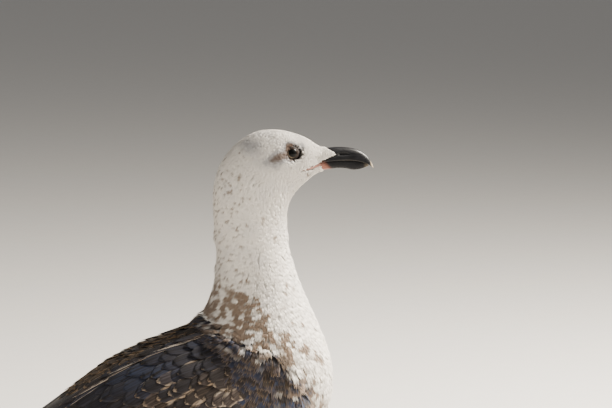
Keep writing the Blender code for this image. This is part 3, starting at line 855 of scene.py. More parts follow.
def tail_coverts():
    """Closed taper of flesh under the coverts at the tail's base: x, middle and half height, half width."""
    rows = np.array((
        (-70, 100, 17, 30), (-88, 95, 18, 25), (-104, 90, 15, 23),
        (-118, 85, 9.5, 21), (-130, 79.5, 6.0, 19), (-141, 75, 3.2, 15),
    ))

    def shape(u, v):
        turn, t = 2 * math.pi * u, v * (len(rows) - 1)
        x, z, half, wide = [np.interp(t, range(len(rows)), rows[:, k]) * MM for k in range(4)]
        return Vector((x, wide * math.cos(turn), z + half * math.sin(turn)))

    return capped_sheet(36, 20, shape)


def body_core():
    """Closed filling between trunk and wings, a little inside their outline."""
    start, end, up, tree = wing_axis(("trunk", "wing_left", "wing_right"))

    def shape(u, v):
        turn = 2 * math.pi * u
        middle = start.lerp(end, (8 + 264 * v) * MM / (end - start).length)
        out = up * math.cos(turn) + Vector((0, math.sin(turn), 0))
        # Beside the middle, so that the ray doesn't pass between the wings.
        aside = out + Vector((0, math.copysign(max(0.0, 0.09 - abs(out.y)), out.y), 0))
        hit, _, _, _ = tree.ray_cast(middle + aside * 0.16, -aside, 0.158)
        reach = (hit - middle).length if hit is not None else 0.004
        return middle + out * reach * 0.965

    return capped_sheet(60, 60, shape)


def body_skin():
    whole = together([grown_copy(name, 0.3 * MM) for name in FLESH] + [tail_coverts(), body_core()])
    bm = largest_piece(remeshed(whole, plumage().skin_voxel))
    soften(bm, 3)
    points, normals = points_and_normals(bm)
    points = points - normals * coat_depth(points)[:, None]
    # At the front it narrows to the bill's own shape, until it lies under the horn.
    x, y, z = from_crown_mm(points)
    turn, out = np.arctan2(z - BILL_MIDDLE, y), np.hypot(y, z - BILL_MIDDLE)
    late = 5.0 * smoothstep(3, 8, np.abs(z + 29))
    draw_in = smoothstep(31 + 0.5 * late, 47 + late, x) * smoothstep(-62, -50, z)
    on_bill = bill_radius(x, turn) + 0.35 - 1.1 * smoothstep(42 + late, 48 + late, x)
    scale = 1 + (on_bill / np.maximum(out, 1e-6) - 1) * draw_in
    points[:, 1] *= scale
    points[:, 2] = CROWN.z + (BILL_MIDDLE + (z - BILL_MIDDLE) * scale) * MM
    # Behind, the folded wings narrow to nothing under their quills.
    start, end = np.array(from_crown(*SHEET_START)), np.array(from_crown(*SHEET_END))
    reach = sheet_reach(points)
    axis = start + unit(end - start) * (reach * MM)[:, None]
    over = smoothstep(-2 * MM, 6 * MM, points[:, 2] - axis[:, 2])
    shrink = 0.45 * smoothstep(190, 270, reach) * over
    points -= (points - axis) * shrink[:, None]
    move_to(bm, points)
    soften(bm, 3)
    return bm


def leg_skin():
    """Bare legs and webbed feet, remeshed finely, with plates raised down the front."""
    growth = 0.18 * MM
    bm = remeshed(together([grown_copy(name, growth) for name in BARE_LEG]), plumage().leg_voxel)
    soften(bm, 2)
    points, normals = points_and_normals(bm)
    height = points[:, 2]
    facing = smoothstep(0.2, 0.7, normals[:, 0])
    plates = np.abs(np.sin(height / (5.2 * MM) * math.pi)) ** 0.35
    tarsus = smoothstep(9 * MM, 14 * MM, height) * facing
    on_toes = (1 - smoothstep(8 * MM, 12 * MM, height)) * smoothstep(0.3, 0.8, normals[:, 2])
    rings = np.abs(np.sin(points[:, 0] / (2.8 * MM) * math.pi)) ** 0.4
    lift = 0.32 * MM * (plates - 0.8) * tarsus + 0.2 * MM * (rings - 0.8) * on_toes
    moved = points - normals * growth + normals * lift[:, None]
    moved[:, 2] = np.maximum(moved[:, 2], 0)
    move_to(bm, moved)
    return bm


def eye_axis(side):
    return Vector((math.sin(math.radians(5)), side * math.cos(math.radians(5)), 0.06)).normalized()


def eye_centre(side):
    return Vector((EYE_AT.x, side * EYE_AT.y, EYE_AT.z))


def around_eye(side, out, lift, turn, stretch=1.0):
    """A point out from the eye's axis, raised along it, at a turn round it."""
    axis = eye_axis(side)
    across = Vector((1, 0, 0)) - axis * axis.x
    across.normalize()
    up = axis.cross(across) * side
    spread = across * math.cos(turn) * out * stretch + up * math.sin(turn) * out
    return eye_centre(side) + axis * lift + spread


def lid_skin(side):
    """Rounded bare rim that holds the eyeball and runs out under the feathers."""
    # Distance out and lift in eyeball radii, and how proud the rim stands.
    rows = np.array((
        (0.60, 0.780, 0.0), (0.645, 0.770, 0.35), (0.675, 0.755, 0.7), (0.71, 0.725, 0.8),
        (0.75, 0.680, 0.6), (0.81, 0.615, 0.2), (0.97, 0.480, -0.3), (1.20, 0.300, -0.8),
    ))

    def shape(u, v):
        turn, t = 2 * math.pi * u, v * (len(rows) - 1)
        out, lift, proud = [np.interp(t, range(len(rows)), rows[:, k]) for k in range(3)]
        corner = 1 + 0.07 * abs(math.cos(turn)) ** 8
        return around_eye(side, out * EYE_RADIUS * corner, lift * EYE_RADIUS + proud * 0.45 * MM, turn, 0.90)

    return wrapped_sheet(48, 18, shape)


def gape_skin(side, near):
    """Thin fleshy corner of the mouth, from the bill's base back under the eye."""
    start, end = from_crown(*GAPE_FRONT), from_crown(*GAPE_REAR)

    def shape(u, v):
        turn = 2 * math.pi * u
        middle = start.lerp(end, v)
        middle.z -= GAPE_SAG * MM * math.sin(math.pi * v)
        hit, _, _, _ = near.ray_cast(middle + Vector((0, side * 0.05, 0)), Vector((0, -side, 0)))
        if hit is None:
            hit = middle + Vector((0, side * 9.4 * MM, 0))
        hit = hit + Vector((0, side * 0.75 * MM, 0))
        thick = 1.25 * MM * math.sin(math.pi * (0.25 + 0.75 * v)) ** 0.6 if v < 1 else 0.0
        return hit + Vector((0, side * math.cos(turn) * thick * 0.8, math.sin(turn) * thick))

    return wrapped_sheet(12, 24, shape)


def build_skin():
    body = body_skin()
    near = BVHTree.FromBMesh(body)
    parts = (
        (body, 0),
        (lore_skin(), 0),
        (leg_skin(), 1),
        (lid_skin(1), 2),
        (lid_skin(-1), 2),
        (gape_skin(1, near), 3),
        (gape_skin(-1, near), 3),
    )
    for bm, index in parts:
        for face in bm.faces:
            face.material_index = index
    skin = object_from_bmesh("skin", together([bm for bm, _ in parts]))
    for made in (skin_material(), leg_material(), lid_material(), gape_material()):
        skin.data.materials.append(made)
    points = points_of(skin)
    set_vectors(skin.data, "root", points)
    marks = marks_at(points)
    marks[:, 0] *= smoothstep(-0.5, -0.25, np.array([v.normal.z for v in skin.data.vertices]))
    set_vectors(skin.data, "mark", marks)
    finished(skin, "plumage_white", *FLESH, *BARE_LEG)


def feathered_surface():
    """BVH of the part of the skin that carries feathers, and its triangles."""
    mesh = bpy.data.objects["skin"].data
    mesh.calc_loop_triangles()
    points = np.empty(len(mesh.vertices) * 3, np.float32)
    mesh.vertices.foreach_get("co", points)
    points = points.reshape(-1, 3).astype(float)
    faces = np.empty(len(mesh.loop_triangles) * 3, np.int32)
    mesh.loop_triangles.foreach_get("vertices", faces)
    kinds = np.empty(len(mesh.loop_triangles), np.int32)
    mesh.loop_triangles.foreach_get("material_index", kinds)
    faces = faces.reshape(-1, 3)[kinds == 0]
    tree = BVHTree.FromPolygons(points.tolist(), faces.tolist())
    return points, faces, tree


# ---------------------------------------------------------------- feathers


def vane_template(columns, rows, ragged, blunt=0.3, tip=0.6, gather=1.0):
    """A thin closed feather one unit long and two wide, rounded from tip on, its edge split a little."""
    bm = bmesh.new()
    bmesh.ops.create_grid(bm, x_segments=columns, y_segments=rows, size=1.0)
    for vertex in bm.verts:
        across, along = vertex.co.x, 1 - ((1 - vertex.co.y) / 2) ** gather
        swell = 0.22 + 0.78 * math.sin(math.pi / 2 * min(along / 0.5, 1.0))
        rounding = math.sqrt(max(0.0, 1 - (max(0.0, along - tip) / (1 - tip)) ** 2))
        width = swell * max(rounding, blunt)
        column = round((across + 1) * columns / 2)
        split = ragged * (0.09 if column % 2 else -0.03) * along**3
        vertex.co = (across * width, along - split - 0.06 * across**2 * along, 0.0)
    lower = bmesh.ops.duplicate(bm, geom=bm.verts[:] + bm.edges[:] + bm.faces[:])["geom"]
    under = {item for item in lower if isinstance(item, bmesh.types.BMVert)}
    bmesh.ops.reverse_faces(bm, faces=[item for item in lower if isinstance(item, bmesh.types.BMFace)])
    edge = {v for v in bm.verts if v.is_boundary}
    for vertex in bm.verts:
        if vertex not in edge:
            vertex.co.z = -0.5 if vertex in under else 0.5
    bmesh.ops.remove_doubles(bm, verts=list(edge), dist=1e-5)
    return arrays_of(bm)


def tuft_template(blades, breadth):
    """A tuft of flat, pointed blades one unit long that fan out from one root to one unit each side."""
    made = []
    for k in range(blades):
        place = (2 * k + 1) / blades - 1
        length = 1 - 0.16 * abs(place) - 0.07 * (k * 5 % 3)
        height = 0.9 * ((k * 7 + 1) % 3 - 1)

        def shape(u, v, place=place, length=length, height=height):
            turn = 2 * math.pi * u + math.pi / 2
            swell = math.sin(math.pi * min(1.0, v * 0.86 + 0.12 * v**3)) ** 0.7 if 0 < v < 1 else 0.0
            across = place * (0.35 + 0.65 * v) + breadth * swell * math.cos(turn)
            return Vector((across, v * length, height * v + 0.9 * swell * math.sin(turn)))

        made.append(wrapped_sheet(3, 3, shape))
    return arrays_of(together(made))


def nearest_on(tree, points):
    found = [tree.find_nearest(point) for point in points]
    return np.array([f[0] for f in found]), np.array([f[1] for f in found])


def feather_mesh(name, template, frames, marks, patch, level=0.0):
    """Copies the template onto every frame and joins the copies in one object.

    level is how far the feathers' shading follows the surface they lie on, 0 to 1.

    frames holds arrays for each feather, or one number for all: start, end, their normals and lies,
    length, half width, height at the root and tip, camber, thickness, roll and side bend. ease 1
    lets a feather rise early from its root, and 0 evenly. Numbers that are left out are 0.
    """
    shape, faces = template
    count, size = len(frames["start"]), len(shape)

    def number(key):
        return np.broadcast_to(frames.get(key, 0.0), count)[:, None, None]

    def vector(key):
        return frames[key][:, None, :]

    x, v, z = [shape[:, k][None, :, None] for k in range(3)]
    h00, h10 = 2 * v**3 - 3 * v**2 + 1, v**3 - 2 * v**2 + v
    h01, h11 = 3 * v**2 - 2 * v**3, v**3 - v**2
    length, width, ease = number("length"), number("width"), number("ease")
    start, end = vector("start"), vector("end")
    lie0, lie1 = vector("lie") * length, vector("end_lie") * length
    line = h00 * start + h10 * lie0 + h01 * end + h11 * lie1
    run = (6 * v**2 - 6 * v) * start + (3 * v**2 - 4 * v + 1) * lie0
    run = unit(run + (6 * v - 6 * v**2) * end + (3 * v**2 - 2 * v) * lie1)
    up = unit(vector("normal") * (1 - v) + vector("end_normal") * v)
    across = unit(np.cross(run, up))
    lifted = ease * np.sin(np.pi / 2 * np.clip(v, 0, 1)) + (1 - ease) * v
    rise = number("low") * (1 - lifted) + number("high") * lifted
    rise = rise + number("camber") * (1 - x**2) * np.sin(np.pi * np.clip(v, 0, 1) * 0.8 + 0.2)
    rise = rise + number("roll") * x * width + z * number("thick")
    points = line + across * (x * width + number("bend") * length * v**2) + up * rise
    everything = (faces[None] + (np.arange(count) * size)[:, None, None]).reshape(-1, 3)
    mesh = bpy.data.meshes.new(name)
    mesh.vertices.add(count * size)
    mesh.vertices.foreach_set("co", points.astype(np.float32).ravel())
    mesh.loops.add(everything.size)
    mesh.loops.foreach_set("vertex_index", everything.astype(np.int32).ravel())
    mesh.polygons.add(len(everything))
    mesh.polygons.foreach_set("loop_start", np.arange(0, everything.size, 3, dtype=np.int32))
    mesh.polygons.foreach_set("use_smooth", np.ones(len(everything), bool))
    mesh.update(calc_edges=True)
    if level:
        own = np.empty(count * size * 3, np.float32)
        mesh.vertex_normals.foreach_get("vector", own)
        flat = np.broadcast_to(up, (count, size, 3)).reshape(-1, 3)
        mesh.normals_split_custom_set_from_vertices(unit(own.reshape(-1, 3) * (1 - level) + flat * level))
    vane = np.empty((count, size, 3))
    vane[:, :, :2] = shape[:, :2]
    vane[:, :, 2] = frames["seed"][:, None]
    set_vectors(mesh, "vane", vane)
    set_vectors(mesh, "root", np.repeat(frames["start"], size, axis=0))
    set_vectors(mesh, "mark", np.repeat(marks, size, axis=0))
    at, reach = patch
    uv = at[:, None, :] + np.stack([shape[:, 0] * 0.5, shape[:, 1] - 0.5], 1)[None] * reach
    layer = mesh.uv_layers.new(name="OFBake")
    layer.data.foreach_set("uv", uv.reshape(-1, 2)[everything.ravel()].astype(np.float32).ravel())
    print(name, count, "feathers", len(everything), "triangles")
    return new_object(name, mesh)


def scattered_roots(points, faces, radius_at, keep, rng):
    """Random points on the triangles, thinned so that none is nearer to another than its radius."""
    a, b, c = points[faces[:, 0]], points[faces[:, 1]], points[faces[:, 2]]
    cross = np.cross(b - a, c - a)
    area = np.linalg.norm(cross, axis=1) / 2
    middle = (a + b + c) / 3
    wanted = keep(middle, unit(cross))
    radius = radius_at(middle)
    weight = np.where(wanted, area / radius**2, 0)
    tries = 3.2  # for each feather that fits
    total = int(weight.sum() * tries)
    chosen = rng.choice(len(faces), size=total, p=weight / weight.sum())
    u, v = rng.random(total), rng.random(total)
    flip = u + v > 1
    u, v = np.where(flip, 1 - u, u), np.where(flip, 1 - v, v)
    spots = a[chosen] + (b - a)[chosen] * u[:, None] + (c - a)[chosen] * v[:, None]
    spacing = radius[chosen]
    tree = KDTree(total)
    for i, spot in enumerate(spots):
        tree.insert(spot, i)
    tree.balance()
    free = np.ones(total, bool)
    kept = []
    for i in range(total):
        if not free[i]:
            continue
        kept.append(i)
        for _, j, _ in tree.find_range(spots[i], spacing[i]):
            free[j] = False
    kept = np.array(kept)
    return spots[kept], unit(cross)[chosen[kept]]


def unwrap(points):
    """Place of each point on the skin cut along the belly and laid flat: turn and reach, 0 to 1."""
    reach, run, front, middle = along_spine(points)
    out = points - middle
    turn = np.arctan2(out[:, 1], -(out * front).sum(axis=1))
    spread = np.stack([turn / (2 * math.pi) + 0.5, reach], axis=1)
    low, high = spread.min(axis=0), spread.max(axis=0)
    return 0.01 + 0.98 * (spread - low) / np.maximum(high - low, 1e-9)


def sheet_reach(points):
    """Millimetres behind the front end of the folded wings."""
    start, end = np.array(from_crown(*SHEET_START)), np.array(from_crown(*SHEET_END))
    return (points - start) @ unit(end - start) / MM


def body_coat(
    name, template, keep, surface, rng, slot="plumage_white", spacing=1.0, rough=0.03, sunk=0.0, level=0.6
):
    """One piece of contour feathers over the part of the skin that keep picks.

    rough is how unevenly their tips stand, sunk how many millimetres they sink under the wings'
    feathers, and level how far their shading follows the skin.
    """
    points, faces, tree = surface

    def radius_at(places):
        return coat_at(along_spine(places)[0], 3) * MM * spacing * (1 - 0.5 * near_leg(places))

    roots, _ = scattered_roots(points, faces, radius_at, keep, rng)
    roots, normals = nearest_on(tree, roots)
    reach, run, _, _ = along_spine(roots)
    crosswise = np.abs((normals * run).sum(axis=1)) < np.where(roots[:, 0] < TAIL_BASE, 0.6, 0.93)
    roots, normals, reach = roots[crosswise], unit(normals[crosswise]), reach[crosswise]
    count = len(roots)
    lie = lie_of_coat(roots, normals)
    twist = rng.normal(0, 0.10, count)[:, None]
    lie = unit(lie + np.cross(normals, lie) * twist)
    small = 1 - 0.55 * near_leg(roots)
    length = coat_at(reach, 1) * MM * rng.uniform(0.85, 1.12, count) * small
    guess = roots + lie * length[:, None] * 0.96
    end, end_normal = nearest_on(tree, guess)
    end_lie = lie_of_coat(end, end_normal)
    # Past the end of the skin, under the tail, they run on freely, or are left out before it.
    free = (roots[:, 0] < TAIL_BASE) & (np.linalg.norm(end - guess, axis=1) > 0.42 * length)
    end[free], end_normal[free], end_lie[free] = guess[free], normals[free], lie[free]
    shown = ~(free & (roots[:, 0] > SKIN_END))
    roots, normals, lie, end, end_normal, end_lie, length, reach, small = [
        values[shown] for values in (roots, normals, lie, end, end_normal, end_lie, length, reach, small)
    ]
    count = len(roots)
    sunk = sunk * MM * smoothstep(20, 60, sheet_reach(roots))
    frames = {
        "start": roots,
        "normal": normals,
        "lie": lie,
        "end": end,
        "end_normal": end_normal,
        "end_lie": unit(end_lie + lie * 0.5),
        "length": length,
        "width": coat_at(reach, 2) * MM * rng.uniform(0.85, 1.15, count) * small,
        "low": -0.25 * MM,
        "high": coat_depth(roots) * rng.uniform(1.03 - rough, 1.03 + rough, count)
        + 0.3 * MM - sunk + tousle(roots) * 5.0 * MM,
        "ease": 1.0,
        "camber": coat_at(reach, 2) * MM * 0.12,
        "thick": 0.05 * MM + length * 0.004,
        "roll": rng.normal(0, 0.6, count) * rough,
        "bend": rng.normal(0, 0.05, count),
        "seed": rng.random(count),
    }
    marks = marks_at(roots + (end - roots) * 0.85)
    marks[:, 0] *= smoothstep(-0.5, -0.25, end_normal[:, 2])
    obj = feather_mesh(name, template, frames, marks, (unwrap(roots), 0.003), level)
    finished(obj, slot, material=bpy.data.materials.get("body_plumage") or body_plumage_material())


def tousle(points):
    """Where tufts stand out, on the hind neck and throat, or lie deeper, at the neck's foot."""
    places = ((-48, -88, 5.5, 0.9), (-47, -117, 5.0, 0.8), (17, -87, 4.5, 0.6), (21, -110, 4.0, 0.3))
    x, _, z = from_crown_mm(points)
    total = np.zeros(len(points))
    for middle_x, middle_z, high, amount in places:
        total += amount * blob(x, z, middle_x, middle_z, 9, high)
    return total * noise3(points, 0.006, 11) - 0.95 * blob(x, z, -68, -171, 17, 11)


def build_body_coat():
    rng = np.random.default_rng(plumage().seed)
    surface = feathered_surface()
    (front_x, front_z), (rear_x, rear_z) = GAPE_FRONT, GAPE_REAR

    def reach_between(low, high):
        def keep(points, normals):
            reach = along_spine(points)[0] / MM
            return (reach >= low) & (reach < high)

        return keep

    def off_eye(points):
        x, _, z = from_crown_mm(points)
        left = to_left(points)
        back = (front_x - x) / (front_x - rear_x)
        mouth = front_z + (rear_z - front_z) * back - GAPE_SAG * np.sin(math.pi * np.clip(back, 0, 1))
        on_gape = (x > 28.5) & (x < 50) & (np.abs(z - mouth - 0.3) < 1.5) & (left[:, 1] > 4 * MM)
        return (np.linalg.norm(left - np.array(EYE_AT), axis=1) > 6.3 * MM) & ~on_gape

    def on_face(low, high):
        on_band = reach_between(low, high)
        return lambda points, normals: on_band(points, normals) & off_eye(points)

    def on_back(points, normals):
        return (dark_share(points) >= 0.5) & (normals[:, 2] >= -0.35)

    def below_back(low, high):
        on_band = reach_between(low, high)
        return lambda points, normals: on_band(points, normals) & ~on_back(points, normals)

    fine, middle, broad = tuft_template(3, 0.42), tuft_template(4, 0.38), tuft_template(4, 0.46)
    everywhere = math.inf
    body_coat("coat_face", fine, on_face(-everywhere, 26), surface, rng, level=0.35)
    body_coat("coat_cheek", fine, on_face(26, 46), surface, rng, level=0.45)
    body_coat("coat_head", fine, reach_between(46, 88), surface, rng)
    body_coat("coat_neck", middle, reach_between(88, 170), surface, rng, spacing=0.9)
    body_coat("coat_breast", broad, below_back(170, 262), surface, rng, rough=0.06, spacing=0.82)
    body_coat("coat_belly", broad, below_back(262, everywhere), surface, rng, rough=0.06, spacing=0.88)
    body_coat("coat_back", broad, on_back, surface, rng, "plumage_wing", sunk=1.6, spacing=0.88)


# ---------------------------------------------------------------- folded wings


def wing_axis(names):
    """Ends of the line inside the folded wings, its upward side, and a tree of the named nodes."""
    whole = bmesh.new()
    for name in names:
        whole.from_mesh(NODES[name].data)
    tree = BVHTree.FromBMesh(whole)
    whole.free()
    start, end = from_crown(*SHEET_START), from_crown(*SHEET_END)
    run = (end - start).normalized()
    return start, end, Vector((run.z, 0, -run.x)), tree


def wing_sheet(side):
    """Even grid of points and normals over one side of the back and folded wing."""
    start, end, up, tree = wing_axis(WING_SHEET)
    grid = np.zeros((SHEET_ROWS, SHEET_TURNS, 3))
    for i in range(SHEET_ROWS):
        middle = start.lerp(end, i / (SHEET_ROWS - 1))
        last = None
        for j in range(SHEET_TURNS):
            turn = math.radians(SHEET_TURN[0] + (SHEET_TURN[1] - SHEET_TURN[0]) * j / (SHEET_TURNS - 1))
            out = up * math.cos(turn) + Vector((0, side * math.sin(turn), 0))
            hit, _, _, _ = tree.ray_cast(middle + out * 0.16, -out, 0.158)
            if hit is None:
                hit = last if last is not None else middle + out * 0.004
            last = hit
            grid[i, j] = hit
    for _ in range(6):
        inner = (grid[2:, 1:-1] + grid[:-2, 1:-1] + grid[1:-1, 2:] + grid[1:-1, :-2]) / 4
        grid[1:-1, 1:-1] = 0.5 * grid[1:-1, 1:-1] + 0.5 * inner
    down = np.gradient(grid, axis=0)
    over = np.gradient(grid, axis=1)
    normals = unit(np.cross(down, over)) * -side
    return grid, normals


def on_sheet(sheet, reach, turn):
    """Point and normal of the sheet at millimetres from its front and degrees round it."""
    grid, normals = sheet
    length = (from_crown(*SHEET_END) - from_crown(*SHEET_START)).length / MM
    a = np.clip(np.asarray(reach, float) / length, 0, 1) * (SHEET_ROWS - 1)
    b = (np.asarray(turn, float) - SHEET_TURN[0]) / (SHEET_TURN[1] - SHEET_TURN[0])
    b = np.clip(b, 0, 1) * (SHEET_TURNS - 1)
    i, j = np.minimum(a.astype(int), SHEET_ROWS - 2), np.minimum(b.astype(int), SHEET_TURNS - 2)
    u, v = (a - i)[:, None], (b - j)[:, None]

    def read(values):
        near = values[i, j] * (1 - v) + values[i, j + 1] * v
        far = values[i + 1, j] * (1 - v) + values[i + 1, j + 1] * v
        return near * (1 - u) + far * u

    return read(grid), unit(read(normals))


def sheet_feathers(name, template, sheet, rows, material, slot, rng, marks):
    """Larger feathers laid on the wing sheet.

    rows is an array of feathers: root reach, root turn, tip reach, tip turn, half width,
    height of the root and of the tip over the sheet, all in millimetres and degrees.
    """
    rows = np.asarray(rows, float)
    count = len(rows)
    reach, turn, tip_reach, tip_turn, half, low, high = rows.T
    start, normal = on_sheet(sheet, reach, turn)
    end, end_normal = on_sheet(sheet, tip_reach, tip_turn)
    near, _ = on_sheet(sheet, reach * 0.9 + tip_reach * 0.1, turn * 0.9 + tip_turn * 0.1)
    far, _ = on_sheet(sheet, reach * 0.1 + tip_reach * 0.9, turn * 0.1 + tip_turn * 0.9)
    frames = {
        "start": start,
        "normal": normal,
        "lie": unit(near - start),
        "end": end,
        "end_normal": end_normal,
        "end_lie": unit(end - far),
        "length": np.linalg.norm(end - start, axis=1),
        "width": half * MM,
        # The foremost ones sink into the breast's feathers.
        "low": (low - 4.5 * (1 - smoothstep(10, 55, reach))) * MM,
        "high": (high - 2.2 * (1 - smoothstep(12, 42, reach))) * MM,
        "camber": half * MM * 0.14,
        "thick": 0.30 * MM,
        "roll": rng.normal(0, 0.015, count),
        "bend": rng.normal(0, 0.015, count),
        "seed": rng.random(count),
    }
    across = math.ceil(math.sqrt(count))
    cells, step = np.arange(count), 1.0 / across
    at = np.stack([(cells % across + 0.5) * step, (cells // across + 0.5) * step], axis=1)
    obj = feather_mesh(name, template, frames, marks(start, frames["seed"], rows), (at, step * 0.8))
    return finished(obj, slot, material=material)


def tract(rng, rows, jitter=1.0):
    """Feathers in staggered rows. Each row: turn, first and last reach, count, first and last length,
    first and last half width, turn gained to the tip, and heights of root and tip."""
    found = []
    for index, (turn, first, last, count, length, longer, width, wider, gain, low, high) in enumerate(rows):
        steps = max(count - 1, 1)
        for k in range(count):
            share = k / steps
            reach = first + (last - first) * (share + (0.5 if index % 2 else 0.0) / steps)
            span = (length + (longer - length) * share) * rng.uniform(0.88, 1.12)
            slope = gain + 1.5 * rng.normal() * jitter
            root = (reach + rng.normal(0, 1.6) * jitter, turn + rng.normal(0, 1.2) * jitter)
            half = (width + (wider - width) * share) * rng.uniform(0.92, 1.08)
            found.append((*root, reach + span, turn + slope, half, low, high + rng.normal(0, 0.2)))
    return found


def covert_marks(points, seeds, rows):
    """Grey share, fringe strength and fringe paleness of each covert: tawny over the ridge of the back,
    soft grey below it and boldly fringed brown along the wing."""
    turn, reach = rows[:, 1], rows[:, 0]
    patches = noise3(points, 0.022, 21)
    below_ridge = smoothstep(20, 26, turn)
    low = smoothstep(38, 56, turn + 16 * (patches - 0.5))
    grey = below_ridge * (1 - 0.8 * low) * (0.35 + 0.9 * smoothstep(0.3, 0.7, patches) * (0.5 + seeds))
    edging = rows[:, 4] < 2.6
    fringe = 0.8 * (1 - below_ridge) + below_ridge * ((1 - low) * 0.25 * seeds + low * (0.55 + 0.4 * seeds))
    pale = 0.04 + 0.26 * noise3(points, 0.015, 23) * (0.4 + 0.6 * low)
    fringe = np.where(edging, 0.7 + 0.7 * seeds, fringe)
    pale = np.where(edging, 0.15 + 0.4 * seeds, pale * below_ridge)
    return np.stack([np.clip(grey, 0, 0.85), np.clip(fringe, 0, 1.5), np.clip(pale, 0, 1)], axis=1)


def quill_marks(tip, edge, base):
    def marks(points, seeds, rows):
        count = len(points)
        return np.tile([tip, edge, base], (count, 1)) * (0.85 + 0.15 * seeds[:, None])

    return marks


# Scapulars, then coverts, in staggered rows from the top down: turn, first and last reach of the
# roots, count, first and last length, first and last half width, turn gained, height of root, tip.
SCAPULARS = (
    (62, 20, 96, 10, 24, 36, 7.0, 9.0, 4, -3.4, 0.3),
    (54, 12, 112, 12, 24, 44, 7.0, 10.0, 3, -3.2, 0.5),
    (46, 8, 128, 14, 24, 50, 7.0, 10.5, 2, -3.0, 0.7),
    (38, 8, 136, 14, 24, 54, 7.0, 10.5, 1, -2.8, 0.9),
    (30, 12, 146, 14, 24, 54, 6.5, 10.0, -1, -2.6, 1.2),
    (23, 30, 168, 13, 40, 56, 5.0, 6.5, -2, -2.0, 1.6),
    (16, 20, 170, 20, 17, 26, 5.0, 6.5, 0, -2.4, 0.9),
    (9, 26, 176, 20, 16, 24, 4.8, 6.0, 0, -2.3, 0.9),
    (4.6, 28, 180, 20, 16, 24, 4.6, 5.6, 0, -2.2, 1.1),
)
# A pale line along the ridge of the back, of narrow edges that overlap.
RIDGE = ((25.5, 46, 160, 11, 30, 40, 0.8, 1.25, -1.4, 0.8, 2.6),)
COVERTS = (
    (99, 18, 176, 13, 42, 50, 8.5, 9.0, 7, -3.6, -0.6),
    (92, 8, 160, 15, 30, 36, 8.0, 8.5, 6, -3.2, -0.2),
    (85, 2, 146, 17, 21, 26, 7.0, 8.0, 5, -3.0, 0.0),
    (78, -2, 134, 17, 19, 23, 6.8, 7.5, 5, -2.8, 0.2),
    (71, 0, 122, 16, 19, 23, 6.8, 7.5, 4, -2.6, 0.4),
)
SECONDARIES = ((108, 34, 196, 12, 50, 54, 8.0, 8.5, 6, -4.0, -1.4),)
TERTIALS = (
    (74, 116, 116, 1, 104, 104, 12.0, 12.0, 8, -3.4, 0.0),
    (64, 118, 118, 1, 118, 118, 13.0, 13.0, 6, -3.2, 0.3),
    (53, 124, 124, 1, 120, 120, 13.0, 13.0, 2, -3.0, 0.6),
    (42, 134, 134, 1, 118, 118, 12.5, 12.5, 0, -2.8, 0.9),
    (31, 146, 146, 1, 114, 114, 12.0, 12.0, -1, -2.6, 1.1),
    (22, 156, 156, 1, 112, 112, 11.5, 11.5, -3, -2.4, 1.3),
    (14, 160, 160, 1, 112, 112, 11.0, 11.0, -4, -2.2, 1.5),
    (6, 168, 168, 1, 106, 106, 10.0, 10.0, -1, -2.0, 1.7),
)


def primary_rows():
    """Primaries, stacked with the longest undermost."""
    rows = []
    for k in range(-3, 10):
        up, under = max(k, 0), max(-k, 0)
        root = (214 - 3 * up + 6 * under, 84 - 8 * k)
        tip = (392 - 10 * up - 20 * under, 80 - 8.2 * k)
        rows.append((*root, *tip, 8.4, -3.6 + 0.35 * k, -3.0 + 0.4 * k))
    return rows


def build_wings():
    rng = np.random.default_rng(plumage().seed + 1)
    small, large = vane_template(6, 8, 0.16), vane_template(8, 22, 0.03, 0.2, 0.86, 1.5)
    soft, stiff = covert_material(), flight_material()

    def quills(name, sheet, rows, *marks):
        return sheet_feathers(name, large, sheet, rows, stiff, "flight_feather", rng, quill_marks(*marks))

    def vanes(name, sheet, rows):
        return sheet_feathers(name, small, sheet, rows, soft, "plumage_wing", rng, covert_marks)

    for side, word in SIDES:
        sheet = wing_sheet(side)
        primaries = quills(f"primaries_{word}", sheet, primary_rows(), 0.8, 0.15, 0.0)
        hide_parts(f"wing_tip_{word}")
        quills(f"secondaries_{word}", sheet, tract(rng, SECONDARIES), 0.9, 0.5, 0.0)
        vanes(f"coverts_{word}", sheet, tract(rng, COVERTS))
        quills(f"tertials_{word}", sheet, tract(rng, TERTIALS, 0.4), 0.9, 0.75, 0.0)
        vanes(f"scapulars_{word}", sheet, tract(rng, SCAPULARS) + tract(rng, RIDGE, 0.5))


